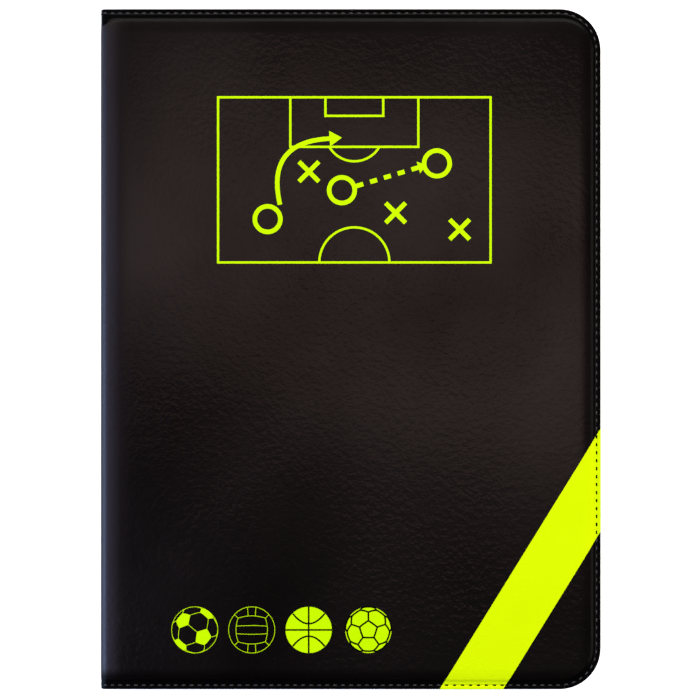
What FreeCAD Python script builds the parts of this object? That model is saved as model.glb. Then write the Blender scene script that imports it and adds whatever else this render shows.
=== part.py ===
# Tactics folder: a hard-backed leather folder that opens like a book on two hinge lines beside its spine.
# Inside the front cover is a magnetic dry-wipe pitch with player tokens on it. Inside the back cover are
# an A4 writing pad in a pocket and a marker in an elastic loop.
# The folder lies closed on its back cover: X runs from spine to fore-edge, Y up the page, Z through it.
# The origin is under the middle of the closed folder, on the surface it lies on. Lengths are millimetres.
import os

import FreeCAD
import Part
import Sketcher

PARTS_FOLDER = "parts"
TOKENS_PER_SIDE = 11
TURN_SHARE = 0.9  # most of the step's height that the rounding of its edge may take up
SKETCH_ORIGIN = (-1, 1)  # a sketch's own origin, as the end of a dimension
TOLERANCE = 1e-6

# Driving dimensions: alias, value, what it measures.
DIMENSIONS = (
    ("sheet_width", 210.0, "A4 paper of the pad"),
    ("sheet_height", 297.0, "A4 paper of the pad"),
    ("end_margin", 16.5, "pad to the head and foot of the covers"),
    ("fore_margin", 12.5, "pad to the fore-edge of the covers"),
    ("corner_radius", 20.0, "outer corners at the fore-edge"),
    ("skin_thickness", 1.0, "leather"),
    ("edge_step", 1.0, "drop from the raised panel to the sewn edge"),
    ("edge_margin", 4.5, "width of the flat sewn edge"),
    ("edge_fillet", 0.6, "rounding where the leather turns over the board"),
    ("spine_radius", 4.0, "outside bend of the leather beside the spine"),
    ("hinge_arm", 0.5, "flat leather past each bend"),
    ("hinge_gap", 0.4, "slack between spine leather and cover leather"),
    ("front_board_thickness", 1.5, "stiffener in the front cover"),
    ("back_board_thickness", 2.0, "stiffener in the back cover"),
    ("steel_thickness", 0.4, "sheet that the tokens hold on to"),
    ("film_thickness", 0.3, "dry-wipe pitch"),
    ("lining_thickness", 0.6, "inner lining"),
    ("core_clearance", 0.2, "board edges to leather"),
    ("core_hinge_gap", 0.6, "board edges back from the hinge"),
    ("window_frame", 16.5, "lining round the visible pitch"),
    ("window_radius", 4.0, "corners of the visible pitch"),
    ("seam_inset", 1.9, "edge to stitch line"),
    ("seam_width", 0.9, "channel that the stitches lie in"),
    ("seam_depth", 0.25, "channel that the stitches lie in"),
    ("band_width", 26.2, "coloured band across the corner"),
    ("band_angle", 31.7, "degrees that the band leans from the page's height"),
    ("band_reach", 62.8, "fore-edge to the band's middle, along the foot"),
    ("band_thickness", 0.25, "coloured band"),
    ("loop_thickness", 0.8, "elastic of the pen loop"),
    ("loop_width", 25.0, "pen loop along the marker"),
    ("loop_spine_gap", 1.0, "pen loop to spine lining"),
    ("loop_cover_gap", 0.8, "pen loop to the front lining above it"),
    ("loop_pocket_gap", 26.5, "pocket to pen loop, up the page"),
    ("loop_pad_gap", 5.1, "pen loop to the pad beside it"),
    ("tail_pad_gap", 1.5, "sewn tail of the pen loop to the pad"),
    ("loop_cap_gap", 13.9, "pen loop to the marker's cap"),
    ("marker_clearance", 0.1, "marker in its loop"),
    ("barrel_radius", 5.0, "marker barrel"),
    ("barrel_length", 80.0, "marker barrel below its neck"),
    ("barrel_wall", 1.6, "marker barrel"),
    ("neck_step", 0.7, "barrel to the seat of the cap"),
    ("neck_length", 12.0, "seat of the cap on the barrel"),
    ("nose_wall", 0.7, "barrel round the nib"),
    ("nose_taper", 6.0, "taper of the barrel past its neck"),
    ("nose_tip", 3.0, "straight end of the nose"),
    ("nib_radius", 1.8, "marker nib"),
    ("nib_reach", 3.5, "nib past the nose"),
    ("nib_root", 4.0, "nib behind the end of the neck"),
    ("nib_bevel", 0.9, "slanted end of the nib"),
    ("plug_length", 3.0, "end plug outside the barrel"),
    ("plug_spigot", 4.0, "end plug inside the barrel"),
    ("plug_bevel", 0.6, "slanted rim of the end plug"),
    ("cap_proud", 0.5, "cap past the barrel, all round"),
    ("cap_end_wall", 2.5, "closed end of the cap under the eraser"),
    ("cap_nib_gap", 1.5, "nib to the closed end of the cap"),
    ("cap_rim", 0.9, "wall round the eraser"),
    ("cap_rim_height", 1.5, "wall round the eraser"),
    ("cap_gap", 0.2, "cap to the barrel's shoulder"),
    ("eraser_height", 5.5, "felt on the end of the cap"),
    ("clip_width", 3.2, "pocket clip on the cap"),
    ("clip_thickness", 1.0, "pocket clip on the cap"),
    ("clip_root", 2.0, "end of the pocket clip that joins the cap"),
    ("clip_gap", 1.2, "pocket clip to cap"),
    ("clip_length", 22.0, "pocket clip past its root"),
    ("sliding_clearance", 0.1, "pad in its pocket, pieces inside the marker"),
    ("sheets_thickness", 4.5, "block of paper"),
    ("card_thickness", 0.8, "card under the paper"),
    ("binding_thickness", 0.3, "tape round the head of the pad"),
    ("binding_lap", 12.0, "tape over the paper"),
    ("glue_lap", 6.0, "glue between paper and card"),
    ("pocket_height", 115.0, "pocket that the card slides into"),
    ("pocket_wall", 2.0, "sewn edge of the pocket"),
    ("pocket_sheet", 0.6, "pocket"),
    ("pocket_play", 1.0, "card to the pocket's edges"),
    ("token_radius", 6.5, "player token"),
    ("token_thickness", 3.5, "tokens"),
    ("token_edge", 7.5, "tokens to the lining round the pitch"),
    ("token_pad_gap", 2.9, "least space between tokens and pad"),
    ("ball_radius", 5.0, "ball token"),
)


class Size:
    """A length that keeps the spreadsheet expression it was worked out from."""

    def __init__(self, value, text):
        self.value = value
        self.text = text

    def __add__(self, other):
        return Size(self.value + other.value, f"({self.text} + {other.text})")

    def __sub__(self, other):
        return Size(self.value - other.value, f"({self.text} - {other.text})")

    def __mul__(self, factor):
        return Size(self.value * factor, f"({self.text} * {factor})")

    def __truediv__(self, divisor):
        return Size(self.value / divisor, f"({self.text} / {divisor})")

    def __neg__(self):
        return Size(-self.value, f"(-{self.text})")


NOTHING = Size(0.0, "0")


def larger(one, other):
    """The larger of two lengths."""
    return Size(max(one.value, other.value), f"max({one.text}; {other.text})")


def smaller(one, other):
    """The smaller of two lengths."""
    return Size(min(one.value, other.value), f"min({one.text}; {other.text})")


class Dimensions:
    """The spreadsheet: driving dimensions as numbers, and the places worked out from them as formulas."""

    def __init__(self, document):
        self.sheet = document.addObject("Spreadsheet::Sheet", "dims")
        self.rows = 0
        for alias, value, meaning in DIMENSIONS:
            self.write(alias, value, str(value), meaning)

    def write(self, alias, value, content, meaning):
        """Fills the next row and keeps its value under its alias."""
        self.rows += 1
        self.sheet.set(f"A{self.rows}", meaning)
        self.sheet.set(f"B{self.rows}", content)
        self.sheet.setAlias(f"B{self.rows}", alias)
        setattr(self, alias, Size(value, f"dims.{alias}"))

    def derive(self, alias, length, meaning):
        """A length worked out from others, kept in the sheet as a formula."""
        self.write(alias, length.value, "=" + length.text.replace("dims.", ""), meaning)


doc = FreeCAD.newDocument("tactics_folder")
dims = Dimensions(doc)
pieces = {}


# Drawing helpers


def origin_plane(body, role):
    """One of a body's own origin planes."""
    return next(plane for plane in body.Origin.OriginFeatures if plane.Role == role)


def new_sketch(body, name, role="XY_Plane", offset=None):
    """An empty sketch on one of the body's origin planes, moved along that plane's normal by offset."""
    sketch = body.newObject("Sketcher::SketchObject", name)
    sketch.AttachmentSupport = [(origin_plane(body, role), "")]
    sketch.MapMode = "FlatFace"
    if offset is not None:
        sketch.setExpression("AttachmentOffset.Base.z", offset.text)
    return sketch


def drive(sketch, kind, ends, length):
    """A dimension of a sketch between ends, bound to a Size."""
    index = sketch.addConstraint(Sketcher.Constraint(kind, *ends, length.value))
    sketch.setExpression(f"Constraints[{index}]", length.text)


def point_loop(sketch, points):
    """A closed loop of straight lines through points, each fixed by its two distances from the origin."""
    first = sketch.GeometryCount
    corners = [FreeCAD.Vector(u.value, v.value, 0) for u, v in points]
    count = len(points)
    for index in range(count):
        line = Part.LineSegment(corners[index], corners[(index + 1) % count])
        sketch.addGeometry(line, False)
    for index, (u, v) in enumerate(points):
        line = first + index
        after = first + (index + 1) % count
        sketch.addConstraint(Sketcher.Constraint("Coincident", line, 2, after, 1))
        drive(sketch, "DistanceX", SKETCH_ORIGIN + (line, 1), u)
        drive(sketch, "DistanceY", SKETCH_ORIGIN + (line, 1), v)


def square_loop(sketch, edges, radii):
    """A closed loop of lines that run along the sketch's two axes in turn.

    Each edge is ("x", distance) for an upright line or ("y", distance) for a level one, and radii[i] rounds
    the corner between edge i and the next one, or is None where that corner is sharp.
    """
    count = len(edges)

    def corner(index):
        pair = dict((edges[index % count], edges[(index + 1) % count]))
        return FreeCAD.Vector(pair["x"].value, pair["y"].value, 0)

    def toward(start, end, length):
        step = (end - start).normalize()
        return start + step * (length.value if length else 0)

    lines, arcs = [], {}
    for index in range(count):
        start, end = corner(index - 1), corner(index)
        near = toward(start, end, radii[index - 1])
        far = toward(end, start, radii[index])
        lines.append(sketch.addGeometry(Part.LineSegment(near, far), False))
    for index, radius in enumerate(radii):
        if radius is None:
            continue
        here = corner(index)
        back = toward(here, corner(index - 1), radius)
        ahead = toward(here, corner(index + 1), radius)
        centre = back + ahead - here
        left_turn = (here - back).cross(ahead - here).z > 0
        start, end = (back, ahead) if left_turn else (ahead, back)
        middle = centre + (here - centre).normalize() * radius.value
        arc = sketch.addGeometry(Part.Arc(start, middle, end), False)
        arcs[index] = (arc, 1, 2) if left_turn else (arc, 2, 1)
    for index, (axis, distance) in enumerate(edges):
        line, after = lines[index], lines[(index + 1) % count]
        upright = axis == "x"
        sketch.addConstraint(Sketcher.Constraint("Vertical" if upright else "Horizontal", line))
        drive(sketch, "DistanceX" if upright else "DistanceY", SKETCH_ORIGIN + (line, 1), distance)
        if index in arcs:
            arc, arc_start, arc_end = arcs[index]
            sketch.addConstraint(Sketcher.Constraint("Tangent", line, 2, arc, arc_start))
            sketch.addConstraint(Sketcher.Constraint("Tangent", arc, arc_end, after, 1))
            drive(sketch, "Radius", (arc,), radii[index])
        else:
            sketch.addConstraint(Sketcher.Constraint("Coincident", line, 2, after, 1))


def rectangle(left, right, bottom, top):
    """The edges of an upright rectangle, anticlockwise from its foot."""
    return [("y", bottom), ("x", right), ("y", top), ("x", left)]


def new_body(label):
    """An empty body for one piece."""
    body = doc.addObject("PartDesign::Body", label)
    body.Label = label
    return body


def pad(body, name, sketch, length, symmetric=False, downward=False):
    """Material added from a sketch, along its normal, against it, or to both sides alike."""
    feature = body.newObject("PartDesign::Pad", name)
    feature.Profile = sketch
    feature.SideType = "Symmetric" if symmetric else "One side"
    feature.Reversed = downward
    feature.setExpression("Length", length.text)
    return feature


def pocket(body, name, sketch, length, symmetric=False, upward=False):
    """Material taken away from a sketch, against its normal, along it, or to both sides alike."""
    feature = body.newObject("PartDesign::Pocket", name)
    feature.Profile = sketch
    feature.SideType = "Symmetric" if symmetric else "One side"
    feature.Reversed = upward
    feature.setExpression("Length", length.text)
    return feature


def revolve(body, name, sketch):
    """A full turn of a sketch about its own upright axis."""
    feature = body.newObject("PartDesign::Revolution", name)
    feature.Profile = sketch
    feature.ReferenceAxis = (sketch, ["V_Axis"])
    feature.Angle = 360.0
    return feature


def round_edges(body, name, feature, radius, wanted):
    """A fillet on every edge of a feature that wanted(edge) picks."""
    doc.recompute()
    names = [f"Edge{number}" for number, edge in enumerate(feature.Shape.Edges, start=1) if wanted(edge)]
    fillet = body.newObject("PartDesign::Fillet", name)
    fillet.Base = (feature, names)
    fillet.setExpression("Radius", radius.text)
    return fillet


def place(piece, x=None, y=None, z=None):
    """Moves a piece to a place that follows the spreadsheet."""
    for axis, length in (("x", x), ("y", y), ("z", z)):
        if length is not None:
            piece.setExpression(f"Placement.Base.{axis}", length.text)


def box(label, left, right, bottom, top, floor, ceiling):
    """A plain rectangular piece between six planes."""
    block = doc.addObject("Part::Box", label)
    block.Label = label
    block.setExpression("Length", (right - left).text)
    block.setExpression("Width", (top - bottom).text)
    block.setExpression("Height", (ceiling - floor).text)
    place(block, left, bottom, floor)
    return block


def along_page(piece, x, y, z):
    """Turns a piece's own Z axis up the page and sets its foot at x, y, z."""
    piece.Placement = FreeCAD.Placement(FreeCAD.Vector(), FreeCAD.Rotation(FreeCAD.Vector(1, 0, 0), -90))
    place(piece, x, y, z)


def level(edge, height):
    """Whether an edge lies at one height."""
    limits = edge.BoundBox
    return abs(limits.ZMin - height) < TOLERANCE and abs(limits.ZMax - height) < TOLERANCE


# Places that several pieces share


def derive_thickness():
    """Heights of the layers from the back face up to the front face."""
    derive = dims.derive
    back_stack = dims.skin_thickness + dims.back_board_thickness
    derive("back_seam", dims.skin_thickness + dims.edge_step, "back leather to back lining")
    derive("page_floor", back_stack + dims.lining_thickness, "face of the back lining")
    derive("card_floor", dims.page_floor + dims.sliding_clearance + dims.binding_thickness, "pad's card")
    derive("pocket_ceiling", dims.card_floor + dims.card_thickness + dims.sliding_clearance, "in the pocket")
    derive("sheets_floor", dims.pocket_ceiling + dims.pocket_sheet + dims.sliding_clearance, "paper")
    derive("sheets_ceiling", dims.sheets_floor + dims.sheets_thickness, "paper")
    derive("loop_bore", dims.barrel_radius + dims.marker_clearance, "pen loop, inside radius")
    derive("loop_radius", dims.loop_bore + dims.loop_thickness, "pen loop, outside radius")
    over_loop = dims.page_floor + dims.loop_radius * 2 + dims.loop_cover_gap + dims.lining_thickness
    pad_top = dims.sheets_ceiling + dims.binding_thickness
    over_pad = pad_top + dims.token_pad_gap + dims.token_thickness
    derive("film_floor", larger(over_loop, over_pad), "face of the pitch")
    derive("steel_floor", dims.film_floor + dims.film_thickness, "steel sheet")
    derive("front_board_floor", dims.steel_floor + dims.steel_thickness, "stiffener in the front cover")
    front_stack = dims.front_board_thickness + dims.skin_thickness
    derive("front_face", dims.front_board_floor + front_stack, "closed folder, back face to front face")
    derive("front_seam", dims.front_face - dims.back_seam, "front leather to front lining")


def derive_outline():
    """Places across the covers, from the spine to the fore-edge, and up the page."""
    derive = dims.derive
    spine_stack = dims.skin_thickness + dims.edge_step + dims.lining_thickness
    marker_space = dims.loop_spine_gap + dims.loop_radius * 2 + dims.loop_pad_gap
    page_space = dims.sheet_width + dims.fore_margin
    derive("cover_width", spine_stack + marker_space + page_space, "closed folder, spine to fore-edge")
    derive("cover_height", dims.sheet_height + dims.end_margin * 2, "closed folder, foot to head")
    derive("spine_face", -dims.cover_width / 2, "outside of the spine")
    derive("fore_edge", dims.cover_width / 2, "edge of the covers")
    derive("head", dims.cover_height / 2, "edge of the covers")
    derive("foot", -dims.cover_height / 2, "edge of the covers")
    derive("arm_end", dims.spine_face + dims.spine_radius + dims.hinge_arm, "end of the spine leather")
    derive("panel_left", dims.arm_end + dims.hinge_gap, "hinge side of the covers")
    derive("core_left", dims.panel_left + dims.core_hinge_gap, "hinge side of the boards")
    derive("core_inset", dims.edge_margin + dims.skin_thickness, "edge to the hollow for the boards")
    derive("spine_lining_face", dims.spine_face + spine_stack, "inside of the spine")
    derive("marker_x", dims.spine_lining_face + dims.loop_spine_gap + dims.loop_radius, "axis of the marker")
    derive("marker_z", dims.page_floor + dims.loop_radius, "axis of the marker")
    derive("pad_right", dims.fore_edge - dims.fore_margin, "fore-edge of the pad")
    derive("pad_left", dims.pad_right - dims.sheet_width, "spine edge of the pad")
    derive("pad_head", dims.sheet_height / 2, "head of the pad")
    derive("pad_foot", -dims.sheet_height / 2, "foot of the pad")
    derive("pocket_border", dims.pocket_play + dims.pocket_wall, "pad to the outside of the pocket")
    derive("pocket_foot", dims.pad_foot - dims.pocket_border, "foot of the pocket")
    derive("pocket_mouth", dims.pocket_foot + dims.pocket_height, "mouth of the pocket")
    derive("loop_foot", dims.pocket_mouth + dims.loop_pocket_gap, "foot of the pen loop")
    turn_limit = (dims.edge_step - dims.band_thickness) * TURN_SHARE
    derive("turn_radius", smaller(dims.edge_fillet, turn_limit), "rounding that the step has room for")


def derive_marker():
    """Places along the marker's own axis, from the foot of its barrel, and its radii."""
    derive = dims.derive
    derive("bore_radius", dims.barrel_radius - dims.barrel_wall, "inside of the barrel")
    derive("inner_radius", dims.bore_radius - dims.sliding_clearance, "pieces inside the barrel")
    derive("neck_radius", dims.barrel_radius - dims.neck_step, "seat of the cap")
    derive("nose_bore", dims.nib_radius + dims.sliding_clearance, "hole that the nib comes out of")
    derive("nose_radius", dims.nose_bore + dims.nose_wall, "end of the barrel")
    derive("cap_bore", dims.neck_radius + dims.sliding_clearance, "inside of the cap")
    derive("cap_radius", dims.barrel_radius + dims.cap_proud, "outside of the cap")
    derive("felt_radius", dims.cap_radius - dims.cap_rim, "eraser")
    derive("shoulder", dims.barrel_length + dims.neck_step, "foot of the neck")
    derive("neck_end", dims.shoulder + dims.neck_length, "end of the neck")
    derive("nose_end", dims.neck_end + dims.nose_taper + dims.nose_tip, "end of the barrel")
    derive("nib_foot", dims.neck_end - dims.nib_root, "foot of the nib")
    derive("nib_end", dims.nose_end + dims.nib_reach, "tip of the nib")
    derive("cap_foot", dims.shoulder + dims.cap_gap, "mouth of the cap")
    derive("cap_inside", dims.nib_end + dims.cap_nib_gap, "closed end of the cap, inside")
    derive("cap_end", dims.cap_inside + dims.cap_end_wall, "seat of the eraser")
    loop_head = dims.loop_foot + dims.loop_width
    derive("barrel_foot", loop_head + dims.loop_cap_gap - dims.cap_foot, "foot of the barrel, up the page")


derive_thickness()
derive_outline()
derive_marker()
doc.recompute()


def panel_edges(inset, left):
    """A cover's outline, drawn in by inset from head, foot and fore-edge, and starting at left."""
    return rectangle(left, dims.fore_edge - inset, dims.foot + inset, dims.head - inset)


def panel_radii(inset):
    """Round corners at the fore-edge and sharp ones beside the spine."""
    radius = dims.corner_radius - inset
    return [radius, radius, None, None]


# Covers


def stepped_panel(label, seam, outward, thickness, rise, inset, grow=NOTHING):
    """A sheet with a flat sewn edge at the seam and a middle that stands out from it by rise.

    outward is 1 for a sheet that rises and -1 for one that goes down. inset draws the raised middle in from
    the edge. grow thickens the sheet on its outer side alone. Returns the body and its last feature.
    """
    body = new_body(label)
    edge_sketch = new_sketch(body, f"{label}_edge", offset=seam)
    square_loop(edge_sketch, panel_edges(NOTHING, dims.panel_left), panel_radii(NOTHING))
    pad(body, f"{label}_edge_pad", edge_sketch, thickness + grow, downward=outward < 0)
    middle_sketch = new_sketch(body, f"{label}_middle", offset=seam)
    drawn_in = inset - grow
    square_loop(middle_sketch, panel_edges(drawn_in, dims.panel_left), panel_radii(drawn_in))
    height = thickness + rise + grow
    middle = pad(body, f"{label}_middle_pad", middle_sketch, height, downward=outward < 0)
    return body, middle


def round_panel(body, label, middle, height, radius):
    """Rounds the raised middle where the sheet turns over the board, but not beside the hinge."""
    hinge_side = dims.panel_left.value + TOLERANCE

    def over_the_board(edge):
        return level(edge, height.value) and edge.BoundBox.XMax > hinge_side

    round_edges(body, f"{label}_round", middle, radius, over_the_board)


def hollow_panel(body, label, seam, outward, depth):
    """Hollows the raised middle from the seam side, open towards the hinge, to take the boards."""
    sketch = new_sketch(body, f"{label}_hollow", offset=seam)
    square_loop(sketch, panel_edges(dims.core_inset, dims.arm_end), panel_radii(dims.core_inset))
    pocket(body, f"{label}_hollow_pocket", sketch, depth, upward=outward > 0)


def seam_channel(body, label, face, outward):
    """The shallow channel that the stitches pull into the sewn edge, on three sides."""
    near = dims.seam_inset - dims.seam_width / 2
    far = dims.seam_inset + dims.seam_width / 2
    edges = [
        ("y", dims.foot + near),
        ("x", dims.fore_edge - near),
        ("y", dims.head - near),
        ("x", dims.arm_end),
        ("y", dims.head - far),
        ("x", dims.fore_edge - far),
        ("y", dims.foot + far),
        ("x", dims.arm_end),
    ]
    outer, inner = dims.corner_radius - near, dims.corner_radius - far
    sketch = new_sketch(body, f"{label}_channel", offset=face)
    square_loop(sketch, edges, [outer, outer, None, None, inner, inner, None, None])
    pocket(body, f"{label}_channel_pocket", sketch, dims.seam_depth, upward=outward < 0)


def leather_panel(label, seam, outward):
    """One leather cover: sewn edge, raised middle, hollow for the board and channel for the stitches."""
    thickness, rise = dims.skin_thickness, dims.edge_step
    body, middle = stepped_panel(label, seam, outward, thickness, rise, dims.edge_margin)
    face = seam + (thickness + rise) * outward
    round_panel(body, label, middle, face, dims.turn_radius)
    hollow_panel(body, label, seam, outward, rise)
    seam_channel(body, label, seam + thickness * outward, outward)
    return body


def lining_panel(label, seam, outward, rise):
    """One inner lining, sewn to the leather at the edge and lying over the boards in the middle."""
    inset = dims.core_inset - dims.lining_thickness
    body, _ = stepped_panel(label, seam, outward, dims.lining_thickness, rise, inset)
    hollow_panel(body, label, seam, outward, rise)
    return body


def core_plate(label, floor, thickness):
    """A board or sheet that fills the space between leather and lining."""
    body = new_body(label)
    inset = dims.core_inset + dims.core_clearance
    sketch = new_sketch(body, f"{label}_outline", offset=floor)
    square_loop(sketch, panel_edges(inset, dims.core_left), panel_radii(inset))
    pad(body, f"{label}_pad", sketch, thickness)
    return body


def window_edges():
    """The part of the pitch that shows inside the lining's frame."""
    frame = dims.window_frame
    return rectangle(dims.spine_face + frame, dims.fore_edge - frame, dims.foot + frame, dims.head - frame)


def pitch_window(body, label):
    """The opening in the front lining that shows the pitch."""
    sketch = new_sketch(body, f"{label}_window", offset=dims.front_seam)
    square_loop(sketch, window_edges(), [dims.window_radius] * 4)
    pocket(body, f"{label}_window_pocket", sketch, dims.front_seam - dims.page_floor)


def band_layer(label, grow):
    """The front leather's outer form, without its hollow, grown by the band's thickness or not at all."""
    body, middle = stepped_panel(
        label, dims.front_seam, 1, dims.skin_thickness, dims.edge_step, dims.edge_margin, grow
    )
    round_panel(body, label, middle, dims.front_face + grow, dims.turn_radius + grow)
    return body


def corner_band(label):
    """The coloured band, which follows the leather over its raised middle and down to its sewn edge."""
    sheet = doc.addObject("Part::Cut", "band_sheet")
    sheet.Base = band_layer("band_blank", dims.band_thickness)
    sheet.Tool = band_layer("band_bed", NOTHING)
    strip_body = new_body("band_strip")
    strip = new_sketch(strip_body, "band_strip_outline", offset=dims.front_seam)
    half, reach = dims.band_width / 2, dims.cover_height
    square_loop(strip, rectangle(-half, half, -reach, reach), [None] * 4)
    pad(strip_body, "band_strip_pad", strip, dims.front_face)
    strip_body.Placement = FreeCAD.Placement(FreeCAD.Vector(), FreeCAD.Rotation(FreeCAD.Vector(0, 0, 1), 0))
    strip_body.setExpression("Placement.Rotation.Angle", f"-{dims.band_angle.text}")
    place(strip_body, dims.fore_edge - dims.band_reach, dims.foot)
    band = doc.addObject("Part::Common", label)
    band.Label = label
    band.Base, band.Tool = sheet, strip_body
    return band


def make_covers():
    """Leather, boards and linings of both covers, and the band across the front corner."""
    front_rise = dims.front_face - dims.skin_thickness - dims.film_floor - dims.edge_step
    pieces["front_skin"] = leather_panel("front_skin", dims.front_seam, 1)
    pieces["front_board"] = core_plate("front_board", dims.front_board_floor, dims.front_board_thickness)
    pieces["steel_sheet"] = core_plate("steel_sheet", dims.steel_floor, dims.steel_thickness)
    pieces["pitch_film"] = core_plate("pitch_film", dims.film_floor, dims.film_thickness)
    pieces["front_lining"] = lining_panel("front_lining", dims.front_seam, -1, front_rise)
    pitch_window(pieces["front_lining"], "front_lining")
    pieces["corner_band"] = corner_band("corner_band")
    back_rise = dims.back_board_thickness - dims.edge_step
    pieces["back_skin"] = leather_panel("back_skin", dims.back_seam, -1)
    pieces["back_board"] = core_plate("back_board", dims.skin_thickness, dims.back_board_thickness)
    pieces["back_lining"] = lining_panel("back_lining", dims.back_seam, 1, back_rise)


# Spine


def spine_section(body, name, outer, inner):
    """A sketch of the leather bent round the spine, between two depths below its outer face."""
    edges = [
        ("y", outer),
        ("x", dims.arm_end),
        ("y", inner),
        ("x", dims.spine_face + inner),
        ("y", dims.front_face - inner),
        ("x", dims.arm_end),
        ("y", dims.front_face - outer),
        ("x", dims.spine_face + outer),
    ]
    wide, tight = dims.spine_radius - outer, dims.spine_radius - inner
    sketch = new_sketch(body, name, role="XZ_Plane")
    square_loop(sketch, edges, [None, None, tight, tight, None, None, wide, wide])
    return sketch


def make_spine():
    """Leather, stiffener and lining of the spine."""
    body = new_body("spine_skin")
    depth = dims.edge_step + dims.skin_thickness
    raised_height = dims.cover_height - dims.edge_margin * 2
    sewn = spine_section(body, "spine_sewn", dims.edge_step, depth)
    pad(body, "spine_sewn_pad", sewn, dims.cover_height, symmetric=True)
    raised = spine_section(body, "spine_raised", NOTHING, depth)
    pad(body, "spine_raised_pad", raised, raised_height, symmetric=True)
    hollow = spine_section(body, "spine_hollow", dims.skin_thickness, depth)
    pocket(body, "spine_hollow_pocket", hollow, raised_height - dims.skin_thickness * 2, symmetric=True)
    pieces["spine_skin"] = body
    low, high = dims.spine_radius, dims.front_face - dims.spine_radius
    end = dims.head - dims.core_inset - dims.core_clearance
    board_face = dims.spine_face + dims.skin_thickness
    lining_back = dims.spine_lining_face - dims.lining_thickness
    pieces["spine_board"] = box("spine_board", board_face, lining_back, -end, end, low, high)
    pieces["spine_lining"] = box(
        "spine_lining", lining_back, dims.spine_lining_face, dims.foot, dims.head, low, high
    )


# Pen loop and marker


def loop_cylinder(label, radius):
    """A round bar along the marker, as long as the pen loop is wide."""
    cylinder = doc.addObject("Part::Cylinder", label)
    cylinder.setExpression("Radius", radius.text)
    cylinder.setExpression("Height", dims.loop_width.text)
    along_page(cylinder, dims.marker_x, dims.loop_foot, dims.marker_z)
    return cylinder


def make_loop():
    """The elastic loop that holds the marker, with its sewn tail on the back lining."""
    tail = box(
        "loop_tail",
        dims.marker_x,
        dims.pad_left - dims.tail_pad_gap,
        dims.loop_foot,
        dims.loop_foot + dims.loop_width,
        dims.page_floor,
        dims.page_floor + dims.loop_thickness,
    )
    whole = doc.addObject("Part::Fuse", "loop_whole")
    whole.Base = loop_cylinder("loop_ring", dims.loop_radius)
    whole.Tool = tail
    loop = doc.addObject("Part::Cut", "pen_loop")
    loop.Label = "pen_loop"
    loop.Base = whole
    loop.Tool = loop_cylinder("loop_inside", dims.loop_bore)
    pieces["pen_loop"] = loop


def turned(label, profile):
    """A turned piece of the marker, drawn as radius and height along its own axis."""
    body = new_body(label)
    sketch = new_sketch(body, f"{label}_profile", role="XZ_Plane")
    point_loop(sketch, profile)
    revolve(body, f"{label}_turn", sketch)
    along_page(body, dims.marker_x, dims.barrel_foot, dims.marker_z)
    pieces[label] = body
    return body


def make_barrel():
    """A hollow barrel with a neck for the cap and a nose for the nib, and the plug in its open end."""
    axis = NOTHING
    turned(
        "marker_barrel",
        [
            (dims.bore_radius, axis),
            (dims.barrel_radius, axis),
            (dims.barrel_radius, dims.barrel_length),
            (dims.neck_radius, dims.shoulder),
            (dims.neck_radius, dims.neck_end),
            (dims.nose_radius, dims.neck_end + dims.nose_taper),
            (dims.nose_radius, dims.nose_end),
            (dims.nose_bore, dims.nose_end),
            (dims.nose_bore, dims.neck_end + (dims.bore_radius - dims.nose_bore)),
            (dims.bore_radius, dims.neck_end),
        ],
    )
    turned(
        "marker_plug",
        [
            (axis, -dims.plug_length),
            (dims.barrel_radius - dims.plug_bevel, -dims.plug_length),
            (dims.barrel_radius, -dims.plug_length + dims.plug_bevel),
            (dims.barrel_radius, axis),
            (dims.inner_radius, axis),
            (dims.inner_radius, dims.plug_spigot),
            (axis, dims.plug_spigot),
        ],
    )


def make_ink():
    """The soaked filling of the barrel and the nib that it feeds."""
    axis = NOTHING
    turned(
        "ink_reservoir",
        [
            (axis, dims.plug_spigot),
            (dims.inner_radius, dims.plug_spigot),
            (dims.inner_radius, dims.nib_foot),
            (axis, dims.nib_foot),
        ],
    )
    turned(
        "marker_nib",
        [
            (axis, dims.nib_foot),
            (dims.nib_radius, dims.nib_foot),
            (dims.nib_radius, dims.nib_end - dims.nib_bevel),
            (dims.nib_radius - dims.nib_bevel, dims.nib_end),
            (axis, dims.nib_end),
        ],
    )


def make_cap():
    """The cap with its pocket clip, and the felt eraser set in its end."""
    axis = NOTHING
    rim_end = dims.cap_end + dims.cap_rim_height
    cap = turned(
        "marker_cap",
        [
            (dims.cap_bore, dims.cap_foot),
            (dims.cap_radius, dims.cap_foot),
            (dims.cap_radius, rim_end),
            (dims.felt_radius, rim_end),
            (dims.felt_radius, dims.cap_end),
            (axis, dims.cap_end),
            (axis, dims.cap_inside),
            (dims.cap_bore, dims.cap_inside),
        ],
    )
    clip = new_sketch(cap, "marker_cap_clip", role="XZ_Plane")
    root = (dims.cap_bore + dims.cap_radius) / 2
    inner = dims.cap_radius + dims.clip_gap
    outer = inner + dims.clip_thickness
    bridge = dims.cap_end - dims.clip_root
    point_loop(
        clip,
        [
            (root, bridge),
            (inner, bridge),
            (inner, bridge - dims.clip_length),
            (outer, bridge - dims.clip_length),
            (outer, dims.cap_end),
            (root, dims.cap_end),
        ],
    )
    pad(cap, "marker_cap_clip_pad", clip, dims.clip_width, symmetric=True)
    felt_end = dims.cap_end + dims.eraser_height
    turned(
        "cap_eraser",
        [
            (axis, dims.cap_end),
            (dims.felt_radius, dims.cap_end),
            (dims.felt_radius, felt_end),
            (axis, felt_end),
        ],
    )


# Writing pad and its pocket


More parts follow.
